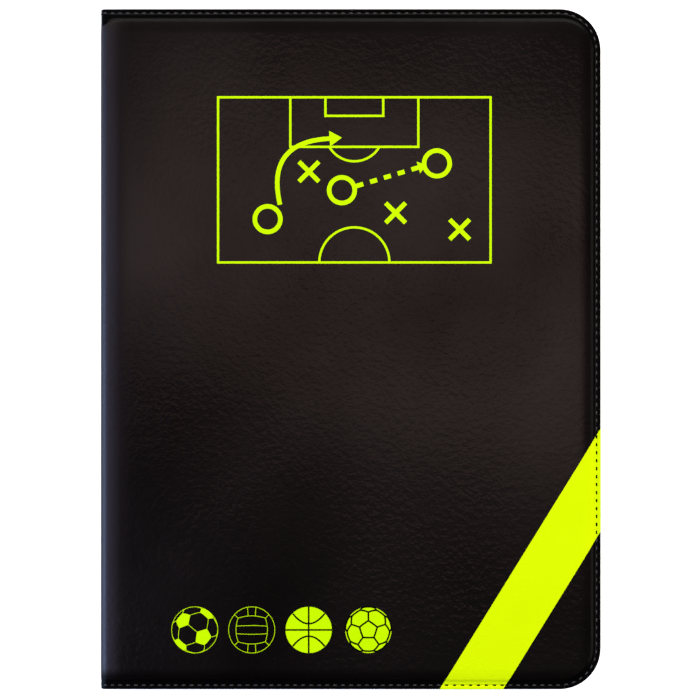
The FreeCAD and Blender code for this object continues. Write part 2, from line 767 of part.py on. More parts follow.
def make_pocket():
    """The pocket sewn to the back lining on three sides, open towards the head."""
    body = new_body("pad_pocket")
    left, right = dims.pad_left - dims.pocket_border, dims.pad_right + dims.pocket_border
    outline = new_sketch(body, "pocket_outline", offset=dims.page_floor)
    square_loop(outline, rectangle(left, right, dims.pocket_foot, dims.pocket_mouth), [None] * 4)
    pad(body, "pocket_pad", outline, dims.pocket_ceiling + dims.pocket_sheet - dims.page_floor)
    inside = new_sketch(body, "pocket_inside", offset=dims.page_floor)
    wall = dims.pocket_wall
    past_mouth = dims.pocket_mouth + wall
    square_loop(
        inside, rectangle(left + wall, right - wall, dims.pocket_foot + wall, past_mouth), [None] * 4
    )
    pocket(body, "pocket_hollow", inside, dims.pocket_ceiling - dims.page_floor, upward=True)
    pieces["pad_pocket"] = body


def page_block(label, floor, thickness):
    """A block as long and wide as the paper."""
    return box(
        label, dims.pad_left, dims.pad_right, dims.pad_foot, dims.pad_head, floor, floor + thickness
    )


def make_pad():
    """Paper glued to a card at the head, with tape round the joint."""
    pieces["pad_card"] = page_block("pad_card", dims.card_floor, dims.card_thickness)
    pieces["pad_sheets"] = page_block("pad_sheets", dims.sheets_floor, dims.sheets_thickness)
    body = new_body("pad_binding")
    tape = dims.pad_head - dims.binding_lap
    edges = [
        ("y", dims.card_floor - dims.binding_thickness),
        ("x", dims.pad_head + dims.binding_thickness),
        ("y", dims.sheets_ceiling + dims.binding_thickness),
        ("x", tape),
        ("y", dims.sheets_ceiling),
        ("x", dims.pad_head),
        ("y", dims.sheets_floor),
        ("x", dims.pad_head - dims.glue_lap),
        ("y", dims.card_floor + dims.card_thickness),
        ("x", dims.pad_head),
        ("y", dims.card_floor),
        ("x", tape),
    ]
    sketch = new_sketch(body, "binding_section", role="YZ_Plane", offset=dims.pad_left)
    square_loop(sketch, edges, [None] * len(edges))
    pad(body, "binding_pad", sketch, dims.sheet_width)
    pieces["pad_binding"] = body


# Tokens


def token(label, radius, x, y):
    """A magnetic disc lying with one face on the pitch."""
    disc = doc.addObject("Part::Cylinder", label)
    disc.Label = label
    disc.setExpression("Radius", radius.text)
    disc.setExpression("Height", dims.token_thickness.text)
    place(disc, x, y, dims.film_floor - dims.token_thickness)
    pieces[label] = disc


def make_tokens():
    """A row of tokens for each side along the head and foot of the pitch, and the ball beside the spine."""
    (_, low), (_, right), (_, high), (_, left) = window_edges()
    inset = dims.token_edge + dims.token_radius
    pitch = (right - left - inset * 2) / (TOKENS_PER_SIDE - 1)
    for side, row in (("home", low + inset), ("away", high - inset)):
        for number in range(TOKENS_PER_SIDE):
            name = f"{side}_token_{number + 1:02d}"
            token(name, dims.token_radius, left + inset + pitch * number, row)
    token("ball_token", dims.ball_radius, left + dims.token_edge + dims.ball_radius, NOTHING)


def write_pieces():
    """Checks every object and every piece, then writes one STEP file for each piece."""
    doc.recompute()
    for thing in doc.Objects:
        if "Invalid" in thing.State or "Error" in thing.State:
            raise RuntimeError(f"{thing.Label} did not build: {thing.State}")
    for label, piece in pieces.items():
        shape = piece.Shape
        if shape.isNull() or not shape.isValid() or not shape.Solids:
            raise RuntimeError(f"{label} is not a valid solid")
    os.makedirs(PARTS_FOLDER, exist_ok=True)
    for label, piece in pieces.items():
        piece.Shape.exportStep(os.path.join(PARTS_FOLDER, f"{label}.step"))
    print(f"{len(pieces)} pieces written")


make_covers()
make_spine()
make_loop()
make_barrel()
make_ink()
make_cap()
make_pocket()
make_pad()
make_tokens()
write_pieces()
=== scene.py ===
import math

import bmesh
import bpy
import numpy as np
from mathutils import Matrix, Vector


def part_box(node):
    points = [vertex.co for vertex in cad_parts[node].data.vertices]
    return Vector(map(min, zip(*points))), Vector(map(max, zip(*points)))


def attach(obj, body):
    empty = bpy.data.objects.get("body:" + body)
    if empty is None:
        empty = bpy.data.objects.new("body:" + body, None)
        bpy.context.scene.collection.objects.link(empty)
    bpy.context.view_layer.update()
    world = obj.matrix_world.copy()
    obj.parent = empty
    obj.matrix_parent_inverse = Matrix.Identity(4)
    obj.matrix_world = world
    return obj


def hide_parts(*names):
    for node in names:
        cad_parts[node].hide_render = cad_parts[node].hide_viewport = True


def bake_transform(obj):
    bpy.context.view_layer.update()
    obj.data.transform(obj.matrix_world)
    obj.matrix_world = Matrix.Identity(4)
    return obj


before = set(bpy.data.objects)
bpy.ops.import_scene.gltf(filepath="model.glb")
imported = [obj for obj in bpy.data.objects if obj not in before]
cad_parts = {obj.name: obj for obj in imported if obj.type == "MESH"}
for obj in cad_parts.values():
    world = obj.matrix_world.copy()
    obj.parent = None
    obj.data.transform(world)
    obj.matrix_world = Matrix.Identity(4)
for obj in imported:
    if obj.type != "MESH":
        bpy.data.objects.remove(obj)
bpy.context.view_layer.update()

# Places of the covers, read from the frame
front_low, front_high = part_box("front_skin")
FORE_X, HEAD_Y, FRONT_Z = front_high
HINGE_X = front_low.x
SPINE_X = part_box("spine_skin")[0].x

# Leather
SKIN = 0.001  # its thickness
STEP = 0.001  # drop from the raised panel to the sewn edge
MARGIN = 0.0045  # width of the sewn edge
NARROWING = 0.0011  # of the sewn edge along the fore-edge and the foot
CORNER = 0.020
BEND = 0.0050  # width of the bend beside the spine
LEAD = 0.0075  # width of the gentle roll before the bend
LEAD_SLOPE = math.radians(8.5)  # slope where the roll meets the bend
BEND_GIRTH = 1.65  # length of the leather in the bend, over the bend's width
RIM = 0.0003  # rounding of the edge
STEP_RISE = (0.0005, 0.0017)  # reach of the step into the sewn edge and into the panel
PANEL_INSET = 0.0120  # edge to the level middle of the panel
ROLL_DEPTH = 0.0006  # how far the panel rolls off before the step
HOLLOW_INSET = 0.0055  # edge to the hollow that holds the board
SPINE_ROUNDING = 0.0022  # widening of the sewn edge where the head turns round the spine
SPINE_TURN = 0.0070  # width of that turn
SPINE_FLATNESS = 0.85  # share of the edge's relief that is pressed flat there

# Seams
SEAM_INSET = 0.0020  # edge to the stitches
SEAM_REACH = 0.0008  # half the width of the channel that they lie in
SEAM_DEPTH = 0.00025
STITCH_PITCH = 0.00387
STITCH_LENGTH = 0.0024
STITCH_WIDTH = 0.00075
STRIPE_STITCH_WIDTH = 0.0010
STITCH_HEIGHT = 0.0005

# Prints on the front
STRIPE_WIDTH = 0.0262
STRIPE_LEAN = math.radians(31.7)
STRIPE_REACH = 0.0628  # fore-edge to the stripe's middle, along the foot
STRIPE_RISE = 0.0001
INK_RISE = 0.00004
MARK_STEP = 0.0000005  # how much thicker each mark is than the last one
BALL_SIZE = 0.0112  # radius
BALL_Y = -0.1360
BALL_XS = (-0.0753, -0.0477, -0.0201, 0.0088)
BALL_EYE = 6.0  # how far off the balls are looked at, in radii
BALL_LINE = 0.00025
DARK_BALL_LINE = 0.00080
PLAY_CENTRE = (0.002, 0.082)
THIN_PLAY_LINE = 0.0011
PLAY_LINE = 0.0022

# Prints on the pitch and the paper
MOWN_STRIPE = 0.0244
PITCH_LINE = 0.0009
RULED_PITCH = 0.008
RULED_WIDTH = 0.0003
MARGIN_LINE_X = -0.076
ROWS_START = 1.0  # how far below the pad the rows are counted from
PAGE_DEPTH = 0.00005  # how far the ruling reaches into the paper

# Fineness of the meshes
CORNER_STEPS = 14
SIDE_STEPS = 72
TURN_STEPS = 48
BEND_STEPS = 200
WELD = 1e-6

FLAT_X = SPINE_X + BEND
TURN_X = SPINE_X + SPINE_TURN
LEAD_X = FLAT_X + LEAD
ARC_X = FORE_X - CORNER
ARC_Y = HEAD_Y - CORNER


# Surfaces


def grid(points, close_rows=False, close_columns=False):
    """A surface over rows and columns of points, each row and column joined to the next."""
    rows, columns = points.shape[:2]
    index = np.arange(rows * columns).reshape(rows, columns)
    if close_rows:
        index = np.concatenate([index, index[:1]], axis=0)
    if close_columns:
        index = np.concatenate([index, index[:, :1]], axis=1)
    corners = [index[:-1, :-1], index[1:, :-1], index[1:, 1:], index[:-1, 1:]]
    return points.reshape(-1, 3), np.stack(corners, axis=-1).reshape(-1, 4).tolist()


def face(points):
    """One flat face inside a loop of points."""
    return points, [list(range(len(points)))]


def slab(top, bottom):
    """A closed sheet between two grids: both faces, and a wall from one's edge to the other's."""

    def edge(points):
        return np.concatenate([points[0, :-1], points[:-1, -1], points[-1, :0:-1], points[:0:-1, 0]])

    return [grid(top), grid(bottom), grid(np.stack([edge(top), edge(bottom)]), close_columns=True)]


def tube(rings, closed=False):
    """A wall through rings of points, joined end to end or closed by a flat face at each end."""
    wall = grid(rings, close_rows=closed, close_columns=True)
    return [wall] if closed else [wall, face(rings[0]), face(rings[-1])]


def flat(points, height):
    """Points of a plane set at one height."""
    return np.column_stack([points, np.full(len(points), height)])


def normalised(ways):
    """Directions of length 1."""
    return ways / np.linalg.norm(ways, axis=-1, keepdims=True)


def rounded(points, radius, steps=4):
    """A line through points, each corner eased by a quadratic curve that starts radius before it."""
    points = np.array(points, float)
    before, corner, after = points[:-2], points[1:-1], points[2:]

    def toward(end):
        length = np.linalg.norm(end - corner, axis=1, keepdims=True)
        return (corner + (end - corner) * np.minimum(radius / length, 0.45))[:, None]

    t = np.linspace(0, 1, steps + 1)[:, None]
    curves = (1 - t) ** 2 * toward(before) + 2 * t * (1 - t) * corner[:, None] + t**2 * toward(after)
    return np.concatenate([points[:1], curves.reshape(-1, points.shape[1]), points[-1:]])


def mitres(path, closed=False):
    """Sideways directions of a line in a plane, long enough at its corners to keep a band's width."""
    ahead = normalised(np.roll(path, -1, axis=0) - path)
    behind = np.roll(ahead, 1, axis=0)
    if not closed:
        ahead[-1] = ahead[-2]
        behind[0] = ahead[0]
    left = np.stack([-ahead[:, 1], ahead[:, 0]], axis=-1)
    left_behind = np.stack([-behind[:, 1], behind[:, 0]], axis=-1)
    return (left + left_behind) / (1 + (left * left_behind).sum(axis=1, keepdims=True))


def ribbon(path, width, low, high, closed=False):
    """A flat line of even width: a path in the cover's plane, widened to both sides between two heights."""
    side = mitres(path, closed) * width / 2
    left, right = path + side, path - side
    rings = [flat(left, low), flat(left, high), flat(right, high), flat(right, low)]
    return tube(np.stack(rings, axis=1), closed)


def plate(outline, low, high):
    """A flat patch: a closed outline between two heights."""
    return tube(np.stack([flat(outline, low), flat(outline, high)]))


def strip(path, thickness, places, place):
    """A band of cloth: a path in one plane, thickened to both sides and repeated at places across it.

    thickness may change from place to place. place(u, v, w) puts the plane's axes and the third in order.
    """
    side = mitres(path) / 2
    spread = np.broadcast_to(thickness, places.shape)[:, None]

    def skin(sign):
        u, v = (path[:, None] + sign * side[:, None] * spread).transpose(2, 0, 1)
        return place(u, v, places + 0 * u)

    return slab(skin(1), skin(-1))


def lathe(profile, centre, axis):
    """A profile of radius and height points turned once round an axis through centre."""
    angle = np.linspace(0, 2 * math.pi, TURN_STEPS, endpoint=False)
    radius, height = np.array(profile, float).T[:, :, None]
    turned = [radius * np.cos(angle), radius * np.sin(angle), height + 0 * angle]
    return [grid(np.stack(turned, axis=-1) @ np.array(axis, float) + centre, close_columns=True)]


UP_PAGE = ((1, 0, 0), (0, 0, 1), (0, 1, 0))
FACING_DOWN = ((1, 0, 0), (0, 1, 0), (0, 0, -1))


def arc(centre, radius, start, end, steps=24):
    """Points along part of a circle, from one angle in degrees to another."""
    angle = np.radians(np.linspace(start, end, steps + 1))
    return np.array(centre) + radius * np.stack([np.cos(angle), np.sin(angle)], axis=-1)


def circle(centre, radius, steps=48):
    """Points round a whole circle."""
    return arc(centre, radius, 0, 360, steps)[:-1]


def square(left, right, low, high):
    """The corners of an upright rectangle."""
    return np.array([(left, low), (right, low), (right, high), (left, high)])


def round_square(left, right, low, high, near, far, steps=8):
    """A rectangle's outline with one radius at its two spine-side corners and another at the other two."""
    return np.concatenate([
        arc((right - far, low + far), far, -90, 0, steps),
        arc((right - far, high - far), far, 0, 90, steps),
        arc((left + near, high - near), near, 90, 180, steps),
        arc((left + near, low + near), near, 180, 270, steps),
    ])


def piece(name, parts, body, stands_for=(), sharp=38):
    """One object made of shapes welded where they meet, each group of shapes in its own material.

    body is the name of the body it rides on. If the two names and two points of a bend are given instead,
    the bend is not used and the piece stays where it was made.
    """
    points, faces, picks = [], [], []
    count = 0
    for pick, (_, shapes) in enumerate(parts):
        for shape_points, shape_faces in shapes:
            points.append(shape_points)
            faces += [[corner + count for corner in loop] for loop in shape_faces]
            picks += [pick] * len(shape_faces)
            count += len(shape_points)
    mesh = bpy.data.meshes.new(name)
    mesh.from_pydata(np.concatenate(points).tolist(), [], faces)
    mesh.polygons.foreach_set("material_index", picks)
    work = bmesh.new()
    work.from_mesh(mesh)
    bmesh.ops.remove_doubles(work, verts=work.verts, dist=WELD)
    bmesh.ops.recalc_face_normals(work, faces=work.faces)
    work.to_mesh(mesh)
    work.free()
    mesh.shade_smooth()
    mesh.set_sharp_from_angle(angle=math.radians(sharp))
    for material, _ in parts:
        mesh.materials.append(material)
    made = bpy.data.objects.new(name, mesh)
    bpy.context.scene.collection.objects.link(made)
    if isinstance(body, str):
        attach(made, body)
    else:
        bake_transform(made)
    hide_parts(*stands_for)
    return made


# Materials


def srgb(red, green, blue):
    """A colour given in screen levels from 0 to 255, as linear light."""
    level = np.array([red, green, blue]) / 255
    linear = np.where(level <= 0.04045, level / 12.92, ((level + 0.055) / 1.055) ** 2.4)
    return (*linear.tolist(), 1.0)


def add(tree, kind, inputs=None, **settings):
    """A new node: its settings, and for each input a number or the socket that feeds it."""
    made = tree.nodes.new("ShaderNode" + kind)
    for key, value in settings.items():
        setattr(made, key, value)
    for key, value in (inputs or {}).items():
        if isinstance(value, bpy.types.NodeSocket):
            tree.links.new(value, made.inputs[key])
        else:
            made.inputs[key].default_value = value
    return made


def math_node(tree, operation, *values):
    """The result of one sum on numbers or sockets."""
    return add(tree, "Math", dict(enumerate(values)), operation=operation).outputs[0]


def mixed(tree, factor, one, other):
    """A colour between two others."""
    return add(tree, "Mix", {0: factor, 6: one, 7: other}, data_type="RGBA").outputs[2]


def ranged(tree, value, low, high, start=0.0, end=1.0):
    """A value from start to end, spread between low and high."""
    places = {"Value": value, "From Min": start, "From Max": end, "To Min": low, "To Max": high}
    return add(tree, "MapRange", places).outputs[0]


def effect_group(name, inputs, output, build):
    """A shared effect with number inputs and one number output, worked out by build(tree, sockets)."""
    group = bpy.data.node_groups.new(name, "ShaderNodeTree")
    for label, value in inputs.items():
        socket = group.interface.new_socket(label, in_out="INPUT", socket_type="NodeSocketFloat")
        socket.default_value = value
    group.interface.new_socket(output, in_out="OUTPUT", socket_type="NodeSocketFloat")
    start = group.nodes.new("NodeGroupInput")
    end = group.nodes.new("NodeGroupOutput")
    group.links.new(build(group, start.outputs), end.inputs[output])
    return group


def place_of(tree):
    """The place on the piece in metres."""
    return add(tree, "TexCoord").outputs["Object"]


def build_patches(tree, sockets):
    """Soft patches: noise of the given scale with its middle range stretched."""
    noise = add(tree, "TexNoise", {"Vector": place_of(tree), "Scale": sockets["Scale"], "Detail": 4.0})
    return ranged(tree, noise.outputs[0], 0.0, 1.0, 0.3, 0.7)


def build_grain(tree, sockets):
    """Leather grain: uneven pebbles, deeper in some places, and finer cells with hollows between them."""
    place = place_of(tree)

    def noise(share):
        scale = math_node(tree, "MULTIPLY", sockets["Scale"], share)
        return add(tree, "TexNoise", {"Vector": place, "Scale": scale, "Detail": 1.0}).outputs[0]

    depth = ranged(tree, noise(0.05), 0.3, 1.0, 0.35, 0.65)
    pebbles = math_node(tree, "MULTIPLY", noise(1.0), depth)
    fine = math_node(tree, "MULTIPLY", sockets["Scale"], 2.2)
    cells = add(tree, "TexVoronoi", {"Vector": place, "Scale": fine}, feature="SMOOTH_F1")
    hollows = math_node(tree, "MULTIPLY", cells.outputs["Distance"], 0.12)
    return math_node(tree, "SUBTRACT", pebbles, hollows)


def build_weave(tree, sockets):
    """Plain weave: the product of two waves, one across and one along, so that threads rise by turns."""
    parts = add(tree, "SeparateXYZ", {0: place_of(tree)}).outputs
    turns = math_node(tree, "MULTIPLY", sockets["Scale"], math.pi)
    waves = [math_node(tree, "SINE", math_node(tree, "MULTIPLY", parts[axis], turns)) for axis in (0, 1)]
    return ranged(tree, math_node(tree, "MULTIPLY", *waves), 0.0, 1.0, -1.0)


patches = effect_group("soft_patches", {"Scale": 20.0}, "Factor", build_patches)
grain = effect_group("leather_grain", {"Scale": 900.0}, "Height", build_grain)
weave = effect_group("plain_weave", {"Scale": 1200.0}, "Height", build_weave)


def grouped(tree, group, scale):
    """One use of a shared effect at its own scale."""
    made = tree.nodes.new("ShaderNodeGroup")
    made.node_tree = group
    made.inputs["Scale"].default_value = scale
    return made.outputs[0]


def shader_of(material):
    """The shader of a material's surface."""
    return material.node_tree.nodes["Principled BSDF"]


def finish(name, dark, light, rough, scale, texture=None, fineness=1000.0, relief=0.0, sockets=None):
    """A material whose colour and roughness drift between two values in soft patches over a fine relief."""
    made = bpy.data.materials.new(name)
    made.use_nodes = True
    tree = made.node_tree
    shader = shader_of(made)
    patch = grouped(tree, patches, scale)
    height = grouped(tree, texture or patches, fineness)
    tree.links.new(mixed(tree, patch, dark, light), shader.inputs["Base Color"])
    tree.links.new(ranged(tree, patch, *rough), shader.inputs["Roughness"])
    bump = add(tree, "Bump", {"Height": height, "Distance": relief, "Strength": 1.0})
    tree.links.new(bump.outputs[0], shader.inputs["Normal"])
    for key, value in (sockets or {}).items():
        shader.inputs[key].default_value = value
    return made


# Where the leather's finish changes: four spans across the cover, two up the page, and how low it is seen
SMOOTHER_SPINE = (-0.1150, -0.0600)
MATTER_SPINE = (-0.1180, -0.1060)
SPINE_GLOSS = (-0.1185, -0.1110)
MATTER_FORE = (0.1105, 0.1145)
MATTER_FOOT = (-0.1585, -0.1545)
SMOOTHER_HEAD = (0.1470, 0.1540)
LOW_VIEW = (0.70, 0.90)

MATT = {"Specular IOR Level": 0.0}
EDGE_GLOSS = 0.05


def hidden_low(tree, gloss):
    """A gloss that fades out where the grain is seen from very low and its pebbles hide each other."""
    lowness = add(tree, "LayerWeight", {"Blend": 0.5}).outputs["Facing"]
    return math_node(tree, "MULTIPLY", ranged(tree, lowness, 1.0, 0.0, *LOW_VIEW), gloss)


def leather_finish():
    """Near-black brown leather: pebbled grain, with glossier clouds where it has been polished by handling.

    Towards the spine and the head the grain is drawn smoother. Round the spine, and along the fore-edge and
    the foot, the leather is matter.
    """
    made = finish(
        "leather", srgb(6, 4, 4), srgb(12, 8, 8), (0.20, 0.28), 14.0, grain, 430.0, 0.00033,
        {"Specular IOR Level": 0.22, "Specular Tint": (1.0, 0.86, 0.8, 1.0), "Coat Roughness": 0.16},
    )
    tree, shader = made.node_tree, shader_of(made)
    place = add(tree, "SeparateXYZ", {0: place_of(tree)})
    across, up_page = place.outputs[0], place.outputs[1]
    flat_share = ranged(tree, across, 0.0, 1.0, *MATTER_SPINE)
    fore_share = ranged(tree, across, 1.0, 0.5, *MATTER_FORE)
    foot_share = ranged(tree, up_page, 0.15, 1.0, *MATTER_FOOT)
    inside = math_node(tree, "MULTIPLY", fore_share, foot_share)
    polish = ranged(tree, grouped(tree, patches, 8.0), 0.0, 0.6)
    clouds = math_node(tree, "MULTIPLY", math_node(tree, "MULTIPLY", polish, flat_share), inside)
    tree.links.new(hidden_low(tree, clouds), shader.inputs["Coat Weight"])
    gloss = math_node(tree, "MULTIPLY", ranged(tree, across, 0.50, 0.22, *SPINE_GLOSS), inside)
    tree.links.new(hidden_low(tree, gloss), shader.inputs["Specular IOR Level"])
    rough = shader.inputs["Roughness"].links[0].from_socket
    matter = math_node(tree, "ADD", rough, ranged(tree, flat_share, 0.2, 0.0))
    tree.links.new(matter, shader.inputs["Roughness"])
    bump = shader.inputs["Normal"].links[0].from_node
    spine_grain = ranged(tree, across, 0.45, 1.0, *SMOOTHER_SPINE)
    head_grain = ranged(tree, up_page, 1.0, 0.3, *SMOOTHER_HEAD)
    tree.links.new(math_node(tree, "MULTIPLY", spine_grain, head_grain), bump.inputs["Strength"])
    return made


def edge_finish():
    """The leather of the sewn edge: blacker than the panel and nearly matt."""
    made = finish(
        "edge_leather", srgb(2, 2, 2), srgb(4, 3, 3), (0.30, 0.38), 40.0, grain, 900.0, 0.00008,
        {"Specular IOR Level": EDGE_GLOSS},
    )
    tree = made.node_tree
    tree.links.new(hidden_low(tree, EDGE_GLOSS), shader_of(made).inputs["Specular IOR Level"])
    return made


def pitch_finish():
    """Dry-wipe film over a green print: mown stripes across the pitch, under a clear gloss."""
    made = finish(
        "pitch_film", srgb(38, 122, 58), srgb(44, 130, 64), (0.3, 0.38), 18.0, None, 300.0, 0.00001,
        {"Coat Weight": 0.15, "Coat Roughness": 0.2},
    )
    tree, shader = made.node_tree, shader_of(made)
    up_page = add(tree, "SeparateXYZ", {0: place_of(tree)}).outputs[1]
    turn = math_node(tree, "SINE", math_node(tree, "MULTIPLY", up_page, math.pi / MOWN_STRIPE))
    stripe = ranged(tree, turn, 0.0, 1.0, -0.15, 0.15)
    base = shader.inputs["Base Color"].links[0].from_socket
    tree.links.new(mixed(tree, stripe, base, srgb(58, 146, 74)), shader.inputs["Base Color"])
    return made


def paper_finish():
    """White writing paper with pale blue ruled lines and one red margin line."""
    made = finish(
        "ruled_paper", srgb(236, 236, 231), srgb(243, 243, 239), (0.75, 0.85), 30.0, None, 2200.0, 0.00002
    )
    tree, shader = made.node_tree, shader_of(made)
    x, y, z = add(tree, "SeparateXYZ", {0: place_of(tree)}).outputs
    on_page = math_node(tree, "GREATER_THAN", z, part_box("pad_sheets")[1].z - PAGE_DEPTH)
    rows = math_node(tree, "DIVIDE", math_node(tree, "ADD", y, ROWS_START), RULED_PITCH)
    in_row = math_node(tree, "LESS_THAN", math_node(tree, "FRACT", rows), RULED_WIDTH / RULED_PITCH)
    on_row = math_node(tree, "MULTIPLY", in_row, on_page)
    away = math_node(tree, "ABSOLUTE", math_node(tree, "SUBTRACT", x, MARGIN_LINE_X))
    on_margin = math_node(tree, "MULTIPLY", math_node(tree, "LESS_THAN", away, RULED_WIDTH), on_page)
    base = shader.inputs["Base Color"].links[0].from_socket
    ruled = mixed(tree, on_row, base, srgb(168, 192, 222))
    tree.links.new(mixed(tree, on_margin, ruled, srgb(222, 128, 128)), shader.inputs["Base Color"])
    return made


def plastic(name, dark, light):
    """Moulded plastic: even colour, with faint handling marks in its gloss."""
    return finish(name, dark, light, (0.28, 0.4), 120.0, None, 900.0, 0.00002)


leather = leather_finish()
edge_leather = edge_finish()
stripe_leather = finish(
    "bright_leather", srgb(221, 252, 4), srgb(225, 255, 6), (0.5, 0.58), 30.0, grain, 900.0, 0.00004, MATT
)
ink = finish(
    "bright_ink", srgb(202, 252, 2), srgb(207, 255, 4), (0.5, 0.6), 60.0, None, 1500.0, 0.00002, MATT
)
dark_ink = finish(
    "dark_ink", srgb(8, 8, 4), srgb(14, 13, 7), (0.45, 0.6), 60.0, None, 1500.0, 0.00002, MATT
)
thread = finish("grey_thread", srgb(36, 35, 34), srgb(53, 52, 51), (0.5, 0.65), 400.0, None, 3000.0, 0.0001)
black_thread = finish(
    "black_thread", srgb(2, 2, 2), srgb(7, 7, 6), (0.5, 0.65), 400.0, None, 3000.0, 0.0001, MATT
)
lining = finish(
    "lining_cloth", srgb(36, 36, 39), srgb(46, 46, 50), (0.75, 0.9), 25.0, weave, 1500.0, 0.0002
)
pocket_cloth = finish(
    "pocket_cloth", srgb(42, 42, 46), srgb(54, 54, 58), (0.7, 0.85), 25.0, weave, 1000.0, 0.0003
)
elastic = finish("elastic", srgb(22, 22, 24), srgb(34, 34, 36), (0.6, 0.8), 60.0, weave, 2400.0, 0.0002)
tape = finish("binding_tape", srgb(24, 24, 27), srgb(36, 36, 40), (0.6, 0.75), 40.0, weave, 1800.0, 0.00015)
felt = finish("felt", srgb(46, 46, 48), srgb(64, 64, 66), (0.9, 1.0), 90.0, None, 2500.0, 0.0004)
board = finish(
    "grey_board", srgb(150, 138, 120), srgb(172, 160, 142), (0.8, 0.95), 60.0, None, 1800.0, 0.0001
)
card = finish("pad_card", srgb(166, 150, 124), srgb(184, 168, 142), (0.75, 0.9), 50.0, None, 1600.0, 0.0001)
steel = finish(
    "steel", srgb(176, 178, 180), srgb(196, 198, 200), (0.3, 0.42), 40.0, None, 1400.0, 0.00002,
    {"Metallic": 1.0},
)
pitch_green = pitch_finish()
paper = paper_finish()
white_ink = finish(
    "white_ink", srgb(232, 236, 232), srgb(242, 244, 242), (0.4, 0.5), 60.0, None, 1500.0, 0.00002
)
white_plastic = plastic("white_plastic", srgb(226, 226, 222), srgb(236, 236, 233))
black_plastic = plastic("black_plastic", srgb(24, 24, 26), srgb(34, 34, 36))
red_plastic = plastic("red_plastic", srgb(190, 26, 24), srgb(204, 34, 30))
blue_plastic = plastic("blue_plastic", srgb(24, 66, 168), srgb(32, 78, 184))


# Leather covers


def eased(t):
    """Rises smoothly from 0 to 1 as t goes from 0 to 1."""
    t = np.clip(t, 0, 1)
    return t * t * (3 - 2 * t)


def panel_share(inset):
    """0 on the flat sewn edge, 1 on the raised panel, easing over the step between them."""
    before, after = STEP_RISE
    return eased((inset - MARGIN + before) / (before + after))


def seam_dip(inset):
    """Depth of the channel that the thread pulls in: one wave of a cosine, deepest under the stitches."""
    return SEAM_DEPTH * (1 + np.cos(math.pi * np.clip((inset - SEAM_INSET) / SEAM_REACH, -1, 1))) / 2


def leather_lift(inset):
    """Height of the leather's outer face over the panel's middle, from its distance to the edge.

    The panel rolls off as a parabola before it steps down to the sewn edge.
    """
    roll = ROLL_DEPTH * np.clip((PANEL_INSET - inset) / (PANEL_INSET - MARGIN), 0, 1) ** 2
    return -STEP * (1 - panel_share(inset)) - roll * panel_share(inset) - seam_dip(inset)


def leather_section():
    """The leather cut across its edge: hollow underside, round rim, sewn edge with its channel, and step.

    Lists inset, height, and 1 for the outer face or 0 for the underside.
    """
    under = -STEP - SKIN
    inside = np.array([(PANEL_INSET, -SKIN), (HOLLOW_INSET, -SKIN), (HOLLOW_INSET, under), (0, under)])
    turn = np.linspace(0, math.pi / 2, 5)
    rim = np.stack([RIM * (1 - np.cos(turn)), -STEP - RIM * (1 - np.sin(turn))], axis=-1)
    seam = np.linspace(SEAM_INSET - SEAM_REACH, SEAM_INSET + SEAM_REACH, 11)
    step = np.linspace(MARGIN - STEP_RISE[0], MARGIN + STEP_RISE[1], 13)
    roll = np.linspace(MARGIN + STEP_RISE[1], PANEL_INSET, 13)[1:]
    inset = np.concatenate([seam, step, roll])
    outside = np.concatenate([rim, np.stack([inset, leather_lift(inset)], axis=-1)])
    inside = np.pad(inside, ((0, 0), (0, 1)))
    outside = np.pad(outside, ((0, 0), (0, 1)), constant_values=1)
    return np.concatenate([inside, outside])


def sewn_margin(points):
    """How much wider the sewn edge is than its usual width at points of the cover's edge.

    It widens where the head turns round the spine, and is narrower along the fore-edge and the foot.
    """
    x, y = points.T
    head = np.where(y > 0, 1 - eased((x - ARC_X) / CORNER), 0)
    return (SPINE_ROUNDING * eased((TURN_X - x) / SPINE_TURN) * head - NARROWING * (1 - head))[:, None]


def pulled(inset, widening):
    """Insets from the edge as the sewn edge widens: the seam stays, and the step and the panel move."""
    seam_end = SEAM_INSET + SEAM_REACH
    return inset + widening * eased((inset - seam_end) / (MARGIN - STEP_RISE[0] - seam_end))


def spine_flatness(across):
    """How far the relief of the edge is pressed flat on its way round the spine, from 0 to nearly 1."""
    return SPINE_FLATNESS * eased((TURN_X - across) / SPINE_TURN)


def level(across):
    """No relief pressed flat."""
    return 0 * across


def even(points):
    """A sewn edge of its usual width all round."""
    return np.zeros((len(points), 1))


def edge_path(across):
    """The covers' edge from the hinge along the head, round the fore-edge and back along the foot.

    across gives the places along the head. Returns the points, the ways inwards from them, and how many of
    them lie along the head and its corner.
    """
    turn = np.linspace(0, math.pi / 2, CORNER_STEPS + 1)[1:]
    out = np.stack([np.sin(turn), np.cos(turn)], axis=-1)
    head = np.stack([across, np.full(len(across), HEAD_Y)], axis=-1)
    half = np.concatenate([head, (ARC_X, ARC_Y) + CORNER * out])
    half_ways = np.concatenate([np.tile((0.0, -1.0), (len(across), 1)), -out])
    down = ARC_Y * np.linspace(1, -1, SIDE_STEPS + 1)[1:-1]
    side = np.stack([np.full(len(down), FORE_X), down], axis=-1)
    mirror = np.array([1, -1])
    points = np.concatenate([half, side, (half * mirror)[::-1]])
    ways = np.concatenate([half_ways, np.tile((-1.0, 0.0), (len(side), 1)), (half_ways * mirror)[::-1]])
    return points, ways, len(half)


